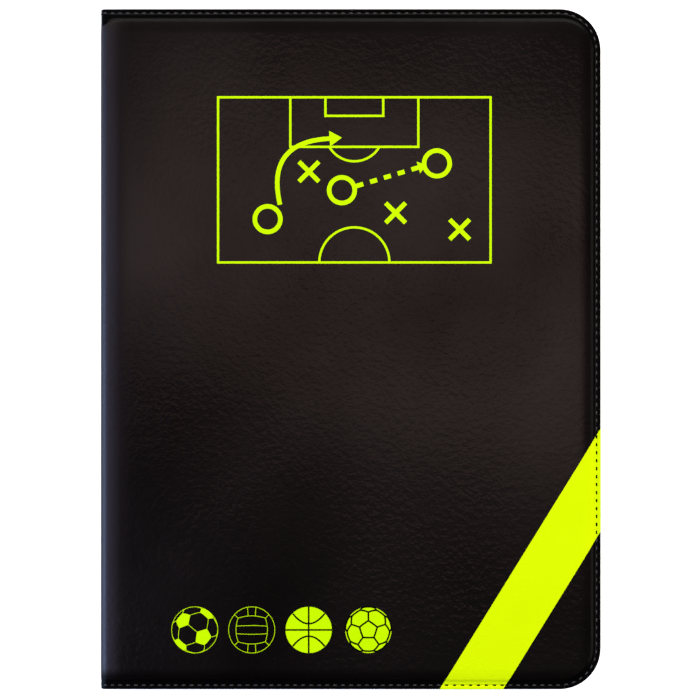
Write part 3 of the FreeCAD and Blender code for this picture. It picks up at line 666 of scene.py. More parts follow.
def cover_sheet(section, across, place, split=1, widen=even, flatness=level):
    """A sheet with a shaped edge on three sides: a section carried along it, and both faces filled in.

    section lists inset, height and outer or not, from the inner face round the rim to the outer face, and
    its point number split is where the sewn edge ends. The faces are ruled from head to foot. Along the
    edge, widen changes the inset and flatness the relief of the outer face. place puts a point of the flat
    sheet and its height in space. Returns the shapes of the sewn edge, and those of the rest.
    """
    points, ways, half = edge_path(across)
    inset, lift, outer_face = section.T
    plan = points[:, None] + ways[:, None] * pulled(inset, widen(points))[..., None]
    height = lift * (1 - outer_face * flatness(plan[..., 0]))
    edge = place(plan[..., 0], plan[..., 1], height)
    share = np.linspace(0, 1, SIDE_STEPS + 1)[:, None]

    def middle(column):
        head, foot = plan[:half, column], plan[::-1][:half, column]
        x, y = (head * (1 - share[..., None]) + foot * share[..., None]).transpose(2, 0, 1)
        return place(x, y, height[:half, column] + 0 * share)

    outer, inner = middle(-1), middle(0)
    end = np.stack([outer[:, 0], inner[:, 0]], axis=1)
    rest = [grid(edge[:, split:]), grid(outer), grid(inner), grid(end), face(edge[0]), face(edge[-1])]
    return [grid(edge[:, :split + 1])], rest


def bend_line():
    """The bend beside the spine: a gentle roll whose slope grows as a square, then an ease to upright.

    Sums the cosine and sine of the slope along the bend. Returns for each place its length along the bend,
    its slope, and how far it has run out and dropped.
    """
    share = np.linspace(0, 1, BEND_STEPS + 1)
    lead = LEAD / (LEAD + BEND_GIRTH * BEND)
    roll = LEAD_SLOPE * np.minimum(share / lead, 1) ** 2
    slope = roll + (math.pi / 2 - LEAD_SLOPE) * eased((share - lead) / (1 - lead))

    def summed(rate):
        return np.append(0, np.cumsum((rate[1:] + rate[:-1]) / 2))

    run, drop = summed(np.cos(slope)), summed(np.sin(slope))
    step = (LEAD + BEND) / run[-1]
    return share * BEND_STEPS * step, slope, run * step, drop * step


bend_at, bend_slope, bend_run, bend_drop = bend_line()
BEND_X = LEAD_X - bend_at[-1]
MIDDLE_X = BEND_X - (FRONT_Z / 2 - bend_drop[-1])


def over_front(across, along, lift):
    """Folds a flat sheet over the front and down the spine: the bend between two straight runs."""
    gone = LEAD_X - across
    slope = np.interp(gone, bend_at, bend_slope)
    drop = np.interp(gone, bend_at, bend_drop) + np.maximum(BEND_X - across, 0)
    x = np.maximum(across, LEAD_X) - np.interp(gone, bend_at, bend_run) - lift * np.sin(slope)
    z = FRONT_Z - drop + lift * np.cos(slope)
    return np.stack([x, along + 0 * x, z + 0 * x], axis=-1)


def over_back(across, along, lift):
    """The same fold on the back, upside down."""
    return over_front(across, along, lift) * (1, 1, -1) + (0, 0, FRONT_Z)


def joined_runs(*runs):
    """Places along a line from runs of start, end and count, each run ending where the next one starts."""
    return np.concatenate([np.linspace(*run, endpoint=False) for run in runs])


runs = (MIDDLE_X, BEND_X, 5), (BEND_X, FLAT_X, 24), (FLAT_X, LEAD_X, 8), (LEAD_X, ARC_X, 68)
cover_across = np.append(joined_runs(*runs), ARC_X)
section = leather_section()
split = int(np.flatnonzero(section[:, 0] < MARGIN + STEP_RISE[1])[-1])
front_bend = ("spine", "front_cover", (SPINE_X, 0, FRONT_Z - BEND), (FLAT_X, 0, FRONT_Z))
back_bend = ("spine", "back_cover", (SPINE_X, 0, BEND), (FLAT_X, 0, 0))
for side, fold, bend, nodes in (
    ("front", over_front, front_bend, ("front_skin",)),
    ("back", over_back, back_bend, ("back_skin", "spine_skin")),
):
    sewn, panel = cover_sheet(section, cover_across, fold, split, sewn_margin, spine_flatness)
    piece(f"{side}_leather", [(leather, panel), (edge_leather, sewn)], bend, nodes)


# Seams


def stitches(ends, lift, place, flatness=level, width=STITCH_WIDTH):
    """A row of stitches: spindles whose girth is the root of 1 less the fourth power of the way to an end.

    ends holds the two ends of each stitch in the flat sheet. lift is the height of the sheet under them,
    and flatness says how far it is pressed flat along the head.
    """
    first, last = ends
    middle, run = (first + last) / 2, (last - first) / 2
    lift = lift * (1 - flatness(middle[:, 0])[:, None, None])
    side = normalised(np.stack([-run[:, 1], run[:, 0]], axis=-1))
    u = np.linspace(-1, 1, 7)[:, None]
    angle = np.linspace(0, 2 * math.pi, 8, endpoint=False)
    girth = np.sqrt(1 - u**4)
    out = width / 2 * girth * np.cos(angle)
    up = lift + STITCH_HEIGHT / 2 * girth * np.sin(angle) - SEAM_DEPTH * u**2
    plan = middle[:, None, None] + run[:, None, None] * u[..., None] + side[:, None, None] * out[..., None]
    rings = place(plan[..., 0], plan[..., 1], up)
    return [grid(ring, close_columns=True) for ring in rings]


def run_along(line):
    """The length of a line of points up to each of them."""
    return np.append(0, np.cumsum(np.linalg.norm(np.diff(line, axis=0), axis=1)))


def stitch_ends(line, fitted=False):
    """The two ends of each stitch along a line of points. fitted changes their pitch to fill the line."""
    run = run_along(line)
    count = round(run[-1] / STITCH_PITCH)
    pitch = run[-1] / count if fitted else STITCH_PITCH
    middle = (np.arange(count) + 0.5) * pitch

    def at(place):
        return np.stack([np.interp(place, run, line[:, axis]) for axis in (0, 1)], axis=-1)

    return at(middle - STITCH_LENGTH / 2), at(middle + STITCH_LENGTH / 2)


def seam_ends(start):
    """The stitches of a cover's seam, from the given place on the head round to the foot."""
    points, ways, _ = edge_path(np.array([start, ARC_X]))
    return stitch_ends(points + ways * SEAM_INSET, fitted=True)


def on_stripe(ends):
    """Which stitches lie on the corner stripe."""
    x, y = ((ends[0] + ends[1]) / 2).T
    off = (x - FORE_X + STRIPE_REACH) * math.cos(STRIPE_LEAN) - (y + HEAD_Y) * math.sin(STRIPE_LEAN)
    return np.abs(off) < STRIPE_WIDTH / 2


def picked(ends, wanted):
    """Some of the stitches."""
    return ends[0][wanted], ends[1][wanted]


outer_ends = seam_ends(MIDDLE_X + STITCH_PITCH)
striped = on_stripe(outer_ends)
plain_ends, stripe_ends = picked(outer_ends, ~striped), picked(outer_ends, striped)
seam_lift = leather_lift(np.array(SEAM_INSET))
front_seam = stitches(plain_ends, seam_lift, over_front, spine_flatness)
stripe_seam = stitches(stripe_ends, seam_lift + STRIPE_RISE, over_front, width=STRIPE_STITCH_WIDTH)
back_seam = stitches(outer_ends, seam_lift, over_back, spine_flatness)
piece("front_seam", [(thread, front_seam)], front_bend)
piece("stripe_seam", [(black_thread, stripe_seam)], "front_cover")
piece("back_seam", [(thread, back_seam)], back_bend)


# Corner stripe and prints


def corner_stripe():
    """The bright stripe: the leather's own section, raised a little, laid from the foot to the fore-edge.

    Points run along the stripe for each place across it. Near both ends they stand at the section's insets
    from the edge, and between them at even distances.
    """
    lean_x, lean_y = math.sin(STRIPE_LEAN), math.cos(STRIPE_LEAN)
    v = np.linspace(-0.5, 0.5, 9) * STRIPE_WIDTH
    section = leather_section()[3:, :2]
    inset = np.where(section[:, 0] > RIM, section[:, 0], section[:, 0] - STRIPE_RISE)
    lift = section[:, 1] + STRIPE_RISE * (section[:, 0] > 0)
    inset = pulled(inset, -NARROWING)
    foot = v * lean_x / lean_y + inset[:, None] / lean_y
    fore = (STRIPE_REACH - v * lean_y) / lean_x - inset[::-1, None] / lean_x
    share = np.linspace(0, 1, 40)[1:-1, None]
    u = np.concatenate([foot, foot[-1] * (1 - share) + fore[0] * share, fore])
    height = np.concatenate([lift, 0 * share[:, 0] + lift[-1], lift[::-1]])[:, None]
    x = FORE_X - STRIPE_REACH + u * lean_x + v * lean_y
    y = -HEAD_Y + u * lean_y - v * lean_x

    def sheet(drop):
        return over_front(x, y, height - drop)

    return slab(sheet(0), sheet(2 * STRIPE_RISE))


piece("corner_stripe", [(stripe_leather, corner_stripe())], "front_cover", ("corner_band",))


def drawn(marks, centre, size, width, low, high):
    """Solid shapes for a figure of lines, loops and fills drawn in a circle of radius 1.

    Each mark is a little thicker than the last one, so that no faces share a plane where marks cross.
    """
    shapes = []
    more = 0.0
    for kind in ("lines", "loops", "fills"):
        for mark in marks.get(kind, ()):
            path = np.array(mark) * size + centre
            more += MARK_STEP
            if kind == "fills":
                shapes += plate(path, low - more, high + more)
            else:
                shapes += ribbon(path, width, low - more, high + more, kind == "loops")
    return shapes


def sewn_ball():
    """The seams of a ball of pentagons and hexagons: an icosahedron with each edge cut at its thirds.

    Returns its corners, and for each corner and neighbour the cut nearer the corner, on a unit sphere.
    """
    golden = (1 + math.sqrt(5)) / 2
    pairs = np.array([(0, one, other) for one in (-1, 1) for other in (-golden, golden)])
    corners = np.concatenate([np.roll(pairs, shift, axis=1) for shift in range(3)])
    gaps = np.linalg.norm(corners[:, None] - corners, axis=-1)
    near = {int(one): np.flatnonzero(np.isclose(gaps[one], 2)) for one in range(len(corners))}
    cuts = {}
    for one, others in near.items():
        for other in others:
            cuts[one, int(other)] = normalised(2 * corners[one] + corners[other])
    return corners, cuts


def seen_from(toward, up):
    """The turn that brings one direction to the viewer and another upright."""
    toward = normalised(np.array(toward))
    upright = normalised(up - (up @ toward) * toward)
    return np.stack([np.cross(upright, toward), upright, toward])


def sphere_line(one, other, steps=8):
    """Points of the shortest line over the ball between two of its points."""
    t = np.linspace(0, 1, steps + 1)[:, None]
    return normalised(one * (1 - t) + other * t)


def pictured(points):
    """Points of the ball as seen from BALL_EYE radii away, its rim a circle of radius 1."""
    return points[:, :2] * math.sqrt(BALL_EYE**2 - 1) / (BALL_EYE - points[:, 2:])


def closed_at_rim(outline, near):
    """The near part of a panel's outline, closed along the rim where the rest is hidden."""
    if near.all():
        return pictured(outline)
    start = np.flatnonzero(near & ~np.roll(near, 1))[0]
    seen = pictured(np.roll(outline, -start, axis=0)[: near.sum()])
    first, last = np.arctan2(seen[[0, -1], 1], seen[[0, -1], 0])
    sweep = (first - last + math.pi) % (2 * math.pi) - math.pi
    return np.concatenate([seen, arc((0, 0), 1, math.degrees(last), math.degrees(last + sweep), 8)])


def ball_figure(toward, up):
    """A sewn ball looked at: its long seams, its pentagons' edges, and the pentagons filled to the rim."""
    corners, cuts = sewn_ball()
    turn = seen_from(toward, up)
    seams, edges, fills = [], [], []
    for (one, other), start in cuts.items():
        if one < other:
            seams.append(sphere_line(start, cuts[other, one]) @ turn.T)
    for index, corner in enumerate(corners):
        upright = seen_from(corner, np.array([0.3, 0.5, 0.7]))
        ring = [point for (one, _), point in cuts.items() if one == index]
        ring.sort(key=lambda point: math.atan2(*(upright @ point)[:2]))
        sides = [sphere_line(one, other) @ turn.T for one, other in zip(ring, ring[1:] + ring[:1])]
        outline = np.concatenate([side[:-1] for side in sides])
        near = outline[:, 2] > 1 / BALL_EYE
        edges += sides
        if near.sum() > 2:
            fills.append(closed_at_rim(outline, near))

    def near_parts(lines):
        cut = [pictured(line[line[:, 2] > 1 / BALL_EYE]) for line in lines]
        return [line for line in cut if len(line) > 1]

    return near_parts(seams), near_parts(edges), fills


def football():
    """A football looked at a little beside the seam where two hexagons meet, with its pentagons filled."""
    corners, cuts = sewn_ball()
    one, other = next(iter(cuts))
    along = normalised(corners[other] - corners[one])
    seam = normalised(corners[other] + corners[one])
    lean = math.radians(-40)
    up = math.sin(lean) * along + math.cos(lean) * np.cross(seam, along)
    seams, _, panels = ball_figure(seam + np.array([0.08, -0.06, 0]) @ seen_from(seam, up), up)
    return {"lines": seams, "loops": [circle((0, 0), 1)], "fills": panels}


def handball_seams():
    """A handball looked at in the middle of a pentagon that stands on its edge."""
    corners, cuts = sewn_ball()
    one, other = next(iter(cuts))
    seams, edges, _ = ball_figure(corners[one], cuts[one, other])
    return {"lines": seams + edges}


def bowed(start, end, bow, steps=10):
    """A line between two points that bows sideways as a parabola."""
    t = np.linspace(0, 1, steps + 1)[:, None]
    start, end = np.array(start), np.array(end)
    side = np.array([-(end - start)[1], (end - start)[0]]) / np.linalg.norm(end - start)
    return start * (1 - t) + end * t + side * 4 * bow * t * (1 - t)


def volleyball():
    """A volleyball: a bowed middle panel in three level bands, and seams from it to the rim."""
    x, y = 0.59, 0.51
    lines = [
        bowed((-x, y), (x, y), 0.10),
        bowed((x, y), (x, -y), 0.09),
        bowed((x, -y), (-x, -y), 0.10),
        bowed((-x, -y), (-x, y), 0.09),
        bowed((-0.67, 0.16), (0.67, 0.16), 0.03),
        bowed((-0.67, -0.16), (0.67, -0.16), -0.03),
    ]
    for across in (-1, 1):
        for up in (-1, 1):
            lines.append(np.array([(x * across, y * up), (0.74 * across, 0.66 * up)]))
            lines.append(bowed((0.155 * across, 0.60 * up), (0.18 * across, 0.97 * up), 0.0))
    return {"lines": lines, "loops": [circle((0, 0), 1)]}


def basketball_seams():
    """A basketball's dark seams: an upright, a level and two parabolas."""
    t = np.linspace(-0.69, 0.69, 25)
    bow = np.stack([t, 0.27 + 0.92 * t**2], axis=-1)
    return {"lines": [np.array([(0, -1), (0, 1)]), np.array([(-1, 0), (1, 0)]), bow, bow * (1, -1)]}


UNDER = FRONT_Z - INK_RISE
OVER = FRONT_Z + INK_RISE
disc = {"fills": [circle((0, 0), 1)]}
bright, dark = [], []
for figure, x in zip((football(), volleyball(), disc, disc), BALL_XS):
    bright += drawn(figure, (x, BALL_Y), BALL_SIZE, BALL_LINE, UNDER, OVER)
for figure, x in zip((basketball_seams(), handball_seams()), BALL_XS[2:]):
    dark += drawn(figure, (x, BALL_Y), BALL_SIZE, DARK_BALL_LINE, UNDER, OVER + INK_RISE / 2)
piece("ball_figures", [(ink, bright), (dark_ink, dark)], "front_cover")


def cross(centre, reach, width):
    """The outline of a slanting cross."""
    arm = width / 2
    corners = np.array([(arm, arm), (reach, arm), (reach, -arm)])
    arms = []
    for angle in np.radians([45, -45, -135, -225]):
        turn = np.array([(math.cos(angle), -math.sin(angle)), (math.sin(angle), math.cos(angle))])
        arms.append(corners @ turn.T)
    return np.concatenate(arms) + centre


def arrow_head(path, length, width):
    """A pointed head on the end of a line."""
    ahead = normalised(path[-1] - path[-2])
    side = np.array([-ahead[1], ahead[0]]) * width / 2
    return np.array([path[-1] + ahead * length, path[-1] + side, path[-1] - side])


def play_diagram():
    """Half a pitch from above, with attackers as rings, defenders as crosses, a run and a dashed pass."""
    attackers = (-0.042, -0.019), (-0.006, -0.005), (0.040, 0.008)
    defenders = (-0.022, 0.004), (0.020, -0.016), (0.051, -0.024)
    run = bowed((-0.036, -0.012), (-0.012, 0.020), 0.012, 20)
    ball_pass = bowed((0.001, -0.003), (0.031, 0.006), 0.0, 9)
    dashes = [ball_pass[start:start + 2] for start in range(0, len(ball_pass) - 1, 2)]
    thin = {
        "loops": [square(-0.066, 0.066, -0.040, 0.040)],
        "lines": [
            arc((0, -0.040), 0.017, 0, 180),
            np.array([(-0.031, 0.040), (-0.031, 0.016), (0.031, 0.016), (0.031, 0.040)]),
            np.array([(-0.014, 0.040), (-0.014, 0.031), (0.014, 0.031), (0.014, 0.040)]),
            arc((0, 0.023), 0.014, 210, 330),
        ],
    }
    thick = {
        "loops": [circle(place, 0.0062) for place in attackers],
        "lines": [run, *dashes],
        "fills": [
            arrow_head(run, 0.006, 0.0075),
            arrow_head(ball_pass, 0.004, 0.006),
            *(cross(place, 0.0068, PLAY_LINE) for place in defenders),
        ],
    }
    return thin, thick


thin, thick = play_diagram()
thin_marks = drawn(thin, PLAY_CENTRE, 1, THIN_PLAY_LINE, UNDER, OVER)
thick_marks = drawn(thick, PLAY_CENTRE, 1, PLAY_LINE, UNDER, OVER)
piece("play_diagram", [(ink, thin_marks + thick_marks)], "front_cover")


# Linings

film_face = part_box("pitch_film")[0].z
lining_low, lining_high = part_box("front_lining")
back_low, back_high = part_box("back_lining")
LINING = 0.0006  # its thickness
EDGE_GAP = 0.00002
LINING_RIM = 0.0001  # rounding of the edge
LINING_STEP = 0.0049  # edge to the middle of the step over the board
LINING_REACH = 0.0007  # reach of the step to both sides
LINING_EASE = 0.0002  # rounding of the step
HINGE_CORNER = 0.0002
WINDOW_FRAME = 0.0165  # edge to the pitch's window
WINDOW_CORNER = 0.004
WINDOW_RIM = ((0.0008, 0.0), (0.0003, 0.00008), (0.0001, 0.0003))  # distance from the window, and depth
WINDOW_GAP = 0.0001
WINDOW_LAP = 0.003  # reach of the lining behind the window's edge


def lining_edge(sewn_face, face_z):
    """Insets and heights of a lining's outside: rim, sewn edge with its channel, and step to its face."""
    way = math.copysign(1, face_z - sewn_face)
    return [
        (0, sewn_face - way * LINING_RIM),
        (LINING_RIM, sewn_face),
        (SEAM_INSET - SEAM_REACH, sewn_face),
        (SEAM_INSET, sewn_face - way * SEAM_DEPTH / 2),
        (SEAM_INSET + SEAM_REACH, sewn_face),
        (LINING_STEP - LINING_REACH, sewn_face),
        (LINING_STEP - LINING_EASE, sewn_face + way * LINING_EASE),
        (LINING_STEP, (sewn_face + face_z) / 2),
        (LINING_STEP + LINING_EASE, face_z - way * LINING_EASE),
        (LINING_STEP + LINING_REACH, face_z),
    ]


def front_frame():
    """The front lining: rings from its sewn edge over the boards, round the window and back behind."""
    edge, face_z = lining_high.z, lining_low.z

    def outline(inset, height):
        y = HEAD_Y - inset
        return flat(round_square(HINGE_X, FORE_X - inset, -y, y, HINGE_CORNER, CORNER - inset), height)

    def window(out, height):
        x, y, radius = FORE_X - WINDOW_FRAME + out, HEAD_Y - WINDOW_FRAME + out, WINDOW_CORNER + out
        return flat(round_square(-x, x, -y, y, radius, radius), height)

    rings = [
        outline(0, edge - EDGE_GAP),
        *(outline(inset, height) for inset, height in lining_edge(edge - LINING, face_z)),
        *(window(out, face_z + depth) for out, depth in WINDOW_RIM),
        window(WINDOW_GAP, film_face),
        window(WINDOW_LAP, film_face),
        outline(HOLLOW_INSET, film_face),
        outline(HOLLOW_INSET, edge - EDGE_GAP),
    ]
    return tube(np.stack(rings), closed=True)


def back_section():
    """The back lining cut across its edge: underside, rim, sewn edge, and the rise over the board."""
    edge, face_z = back_low.z, back_high.z
    section = [
        (PANEL_INSET, face_z - LINING),
        (HOLLOW_INSET, face_z - LINING),
        (HOLLOW_INSET, edge + EDGE_GAP),
        (0, edge + EDGE_GAP),
        *lining_edge(edge + LINING, face_z),
        (PANEL_INSET, face_z),
    ]
    return np.pad(np.array(section), ((0, 0), (0, 1)))


def as_laid(x, y, z):
    """Points where they are."""
    return np.stack([x, y + 0 * x, z + 0 * x], axis=-1)


def across_page(u, v, w):
    """A plane that stands across the page: X and Z from the plane, Y up the page."""
    return np.stack([u, w, v], axis=-1)


def along_page(u, v, w):
    """A plane that stands along the page: Y and Z from the plane, X across the page."""
    return np.stack([w, u, v], axis=-1)


piece("front_cloth", [(lining, front_frame())], "front_cover", ("front_lining",))
lining_across = np.append(np.linspace(HINGE_X, ARC_X, 30, endpoint=False), ARC_X)
sewn, middle = cover_sheet(back_section(), lining_across, as_laid)
back_cloth = piece("back_cloth", [(lining, sewn + middle)], "back_cover", ("back_lining",))
inner_ends = seam_ends(HINGE_X + STITCH_PITCH)
front_sewn = lining_high.z - LINING
back_sewn = back_low.z + LINING
piece("front_inner_seam", [(thread, stitches(inner_ends, front_sewn, as_laid))], "front_cover")
piece("back_inner_seam", [(thread, stitches(inner_ends, back_sewn, as_laid))], "back_cover")


HINGE_LAP = 0.0040  # reach of the hinge cloths on to the linings
HINGE_RISE = 0.0012  # lining to the cloth's corner on the spine
HINGE_GAP = 0.0001
HINGE_ROUND = 0.002
HINGE_END = 0.0004  # head or foot to the cloth's end
HINGE_BLEND = 0.0015  # lining to where the cloth starts to turn with its cover


def hinge_lines():
    """The lines of the back's and the front's hinge cloth, from the spine's middle out on to the lining.

    The front's is the back's upside down, all but its start moved on to the front lining.
    """
    spine_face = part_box("spine_lining")[1].x - LINING / 2
    back_face, front_face = back_high.z + LINING / 2, lining_low.z - LINING / 2
    corners = [
        (spine_face, FRONT_Z / 2),
        (spine_face, back_face + HINGE_RISE),
        (HINGE_X + HINGE_GAP, back_face),
        (HINGE_X + HINGE_LAP, back_face),
    ]
    back = rounded(corners, HINGE_ROUND, 8)
    front = back * (1, -1) + (0, FRONT_Z)
    front[1:, 1] += front_face - (FRONT_Z - back_face)
    return back, front


def hinge_cloth(name, line, cover, blend):
    """One hinge cloth along its line, bent from the spine on to a cover's lining."""
    spine_face, cover_face = line[0, 0], line[-1, 1]
    bend = ("spine", cover, (spine_face, 0, cover_face + blend), (HINGE_X, 0, cover_face))
    places = np.linspace(-HEAD_Y + HINGE_END, HEAD_Y - HINGE_END, 41)
    cloth = strip(line, LINING, places, across_page)
    return piece(name, [(lining, cloth)], bend, ("spine_lining",))


back_line, front_line = hinge_lines()
back_hinge = hinge_cloth("back_hinge_cloth", back_line, "back_cover", HINGE_BLEND)
front_hinge = hinge_cloth("front_hinge_cloth", front_line, "front_cover", -HINGE_BLEND)


# Pocket and loop

pocket_low, pocket_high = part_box("pad_pocket")
POCKET_TOP = pocket_high.z - 0.0002  # the hem stands in the room over it
POCKET_EDGE = 0.0026  # width of the fall to the lining
POCKET_SEAM = 0.0034  # edge to the stitches
HEM = 0.009
HEM_LEAD = 0.001  # how far before the hem the rows grow finer
HEM_RISE = 0.00018
HEM_SLOPE = 0.0008  # width of the rise on to the hem
HEM_FOLD = 0.0006  # width of the fold at the mouth
HEM_FALL = 0.0004  # depth of that fold
HEM_SEAM = 0.0012  # hem's edge to its stitches
HEM_CHANNEL = 0.0004  # width of the channel that they lie in
HEM_DIP = 0.00012  # depth of that channel
HEM_STITCH = 0.00012  # height of the stitches over the pocket


def pocket_sheet():
    """The pocket: a sheet that falls to the lining at both sides and the foot, with a hem at its mouth."""
    width, height = pocket_high.x - pocket_low.x, pocket_high.y - pocket_low.y
    ease = joined_runs((0, POCKET_EDGE, 9))
    x = np.concatenate([ease, np.linspace(POCKET_EDGE, width - POCKET_EDGE, 30), (width - ease)[::-1]])
    fine = height - HEM - HEM_LEAD
    y = np.concatenate([ease, joined_runs((POCKET_EDGE, fine, 20), (fine, height, 26)), [height]])
    x, y = x[:, None], y[None]
    rise = POCKET_TOP - pocket_low.z
    fall = eased(np.minimum(x, width - x) / POCKET_EDGE) * eased(y / POCKET_EDGE)
    hem = HEM_RISE * eased((y - height + HEM) / HEM_SLOPE)
    fold = HEM_FALL * eased((y - height + HEM_FOLD) / HEM_FOLD) ** 2
    seam = HEM_DIP * np.exp(-(((height - HEM + HEM_SEAM - y) / HEM_CHANNEL) ** 2))
    top = pocket_low.z + fall * (rise + hem - fold - seam)
    bottom = np.maximum(top - LINING * fall, pocket_low.z - EDGE_GAP)
    spread = pocket_low.x + x + 0 * y, pocket_low.y + y + 0 * x
    return slab(np.stack([*spread, top], axis=-1), np.stack([*spread, bottom], axis=-1))


def pocket_stitches():
    """The pocket's stitches: one row round its sides and foot, and one along its hem."""
    left, right = pocket_low.x + POCKET_SEAM, pocket_high.x - POCKET_SEAM
    foot, mouth = pocket_low.y + POCKET_SEAM, pocket_high.y - HEM + HEM_SEAM
    edge = np.array([(left, mouth), (left, foot), (right, foot), (right, mouth)])
    hem = np.array([(left, mouth), (right, mouth)])
    edge_row = stitches(stitch_ends(edge), POCKET_TOP, as_laid)
    return edge_row + stitches(stitch_ends(hem), POCKET_TOP + HEM_STITCH, as_laid)


pocket = piece("pocket_cloth", [(pocket_cloth, pocket_sheet())], "back_cover", ("pad_pocket",))
piece("pocket_seam", [(thread, pocket_stitches())], "back_cover")

barrel_low, barrel_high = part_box("marker_barrel")
loop_low, loop_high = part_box("pen_loop")
MARKER_X, MARKER_Z = (barrel_low.x + barrel_high.x) / 2, (barrel_low.z + barrel_high.z) / 2
BARREL = (barrel_high.x - barrel_low.x) / 2
ELASTIC = 0.0007
ELASTIC_TAIL = 0.004  # marker's middle to where the tail leaves the lining
RIB_PITCH = 0.0014
RIB_DEPTH = 0.14  # half of a rib's share of the thickness


def elastic_loop():
    """Ribbed elastic: a tail on the lining and one turn round the marker, its thickness a cosine of Y."""
    middle = (MARKER_X - loop_low.x) - ELASTIC / 2
    floor = MARKER_Z - middle
    tail = np.array([(loop_high.x, floor), (MARKER_X + ELASTIC_TAIL, floor)])
    turn = arc((MARKER_X, MARKER_Z), middle, 270, -66, 60)
    places = np.linspace(loop_low.y, loop_high.y, 91)
    wave = np.cos((places - loop_low.y) * 2 * math.pi / RIB_PITCH)
    ribs = ELASTIC * (1 - RIB_DEPTH + RIB_DEPTH * wave)
    return strip(np.concatenate([tail, turn]), ribs, places, across_page)


piece("elastic_loop", [(elastic, elastic_loop())], "back_cover", ("pen_loop",))


# Marker

cap_low, cap_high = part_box("marker_cap")
felt_low, felt_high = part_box("cap_eraser")
MARKER_FOOT = np.array([MARKER_X, barrel_low.y, MARKER_Z])
BARREL_LENGTH = 0.080
BORE = 0.0034
BORE_MIDDLE = 0.040  # where the barrel's closed profile starts and ends
NECK = 0.0043
NECK_END = 0.0927
NOSE = 0.0026
NOSE_START = 0.0987
NOSE_BORE = 0.0019
NOSE_BORE_START = NECK_END + 0.002
MARKER_ROUND = 0.0004
CAP_RISE = 0.0005  # of the cap's outside over the barrel's
CAP_GAP = 0.0001
CAP_END = 0.0025  # thickness of the cap's end
CAP_ROUND = 0.0003
GRIP_START = 0.0016
GRIP_PITCH = 0.0006
GRIP_RINGS = 9
GRIP_GROOVE = ((0, 0), (0.00018, 0.0002), (0.00018, 0.0004))  # depth, and way along the pitch
CLIP_DROP = 0.001  # eraser's seat to the clip's bridge
CLIP_ROOT = 0.0004  # reach of the clip into the cap
CLIP_LINE = ((0.0005, 0), (0.0005, 0.0185), (0.0011, 0.0205), (0.0006, 0.0225))  # in from the outside, down
CLIP_ROUND = 0.0012
CLIP_HALF = 0.0016  # half of the clip's width
CLIP_THICKNESS = 0.001
FELT_GAP = 0.00005
FELT_ROUND = 0.0014


def marker_tube():
    """The barrel's wall turned from one closed profile: bore, foot, outside, shoulder, neck and nose."""
    nose_end = barrel_high.y - barrel_low.y
    profile = [
        (BORE, BORE_MIDDLE),
        (BORE, 0),
        (BARREL, 0),
        (BARREL, BARREL_LENGTH),
        (NECK, BARREL_LENGTH + BARREL - NECK),
        (NECK, NECK_END),
        (NOSE, NOSE_START),
        (NOSE, nose_end),
        (NOSE_BORE, nose_end),
        (NOSE_BORE, NOSE_BORE_START),
        (BORE, NECK_END),
        (BORE, BORE_MIDDLE),
    ]
    return lathe(rounded(profile, MARKER_ROUND), MARKER_FOOT, UP_PAGE)


def marker_lid():
    """The cap: a turned cup with grip rings and a rim for the eraser, and a bent clip beside it.

    The clip is thinner towards its sides, by a fourth power of the distance from its middle.
    """
    foot, end, felt_seat = np.array([cap_low.y, cap_high.y, felt_low.y]) - barrel_low.y
    outside, bore = BARREL + CAP_RISE, NECK + CAP_GAP
    felt_radius = (felt_high.z - felt_low.z) / 2
    rings = []
    for start in foot + GRIP_START + GRIP_PITCH * np.arange(GRIP_RINGS):
        rings += [(outside - depth, start + shift) for depth, shift in GRIP_GROOVE]
    profile = [
        (0, felt_seat - CAP_END),
        (bore, felt_seat - CAP_END),
        (bore, foot),
        (outside, foot),
        *rings,
        (outside, end),
        (felt_radius, end),
        (felt_radius, felt_seat),
        (0, felt_seat),
    ]
    outer = cap_high.x - MARKER_X
    bridge = felt_seat - CLIP_DROP
    arm = [(outer - inset, bridge - down) for inset, down in CLIP_LINE]
    clip = rounded([(outside - CLIP_ROOT, bridge), *arm], CLIP_ROUND)
    width = np.linspace(-CLIP_HALF, CLIP_HALF, 5)
    thickness = CLIP_THICKNESS * (1 - 0.25 * (width / CLIP_HALF) ** 4)

    def beside(u, v, w):
        return np.stack([u, v, w], axis=-1) + MARKER_FOOT

    cup = lathe(rounded(profile, CAP_ROUND, 2), MARKER_FOOT, UP_PAGE)
    return cup + strip(clip, thickness, width, beside)


def eraser_dome():
    """The felt: a plug with a domed end."""
    radius, length = (felt_high.z - felt_low.z) / 2 - FELT_GAP, felt_high.y - felt_low.y
    foot = np.array([MARKER_X, felt_low.y, MARKER_Z])
    profile = [(0, 0), (radius, 0), (radius, length), (0, length)]
    return lathe(rounded(profile, FELT_ROUND, 8), foot, UP_PAGE)


piece("marker_tube", [(white_plastic, marker_tube())], "marker", ("marker_barrel",))
piece("marker_lid", [(black_plastic, marker_lid())], "cap", ("marker_cap",))
piece("eraser_felt", [(felt, eraser_dome())], "cap", ("cap_eraser",))


# Writing pad

sheets_low, sheets_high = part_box("pad_sheets")
binding_low, binding_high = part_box("pad_binding")
SHEET_EDGES = 26
SHEET_SHIFT = 0.00014
SHEET_GAP = 0.00001
PAPER_CORNER = 0.0004
TAPE_ROUND = 0.0006


def paper_block():
    """The paper: rings of its outline, a pair for each bunch of sheets, each bunch slid a little."""
    draw = np.random.default_rng(7)
    height = np.linspace(sheets_low.z, sheets_high.z, SHEET_EDGES + 1)
    rings = []
    for low, high in zip(height[:-1], height[1:]):
        left, right, foot = draw.uniform(0, SHEET_SHIFT, 3)
        sides = sheets_low.x + left, sheets_high.x - right
        ends = sheets_low.y + foot, sheets_high.y
        outline = round_square(*sides, *ends, PAPER_CORNER, PAPER_CORNER, 3)
        rings += [flat(outline, low), flat(outline, high - SHEET_GAP)]
    return tube(np.stack(rings))


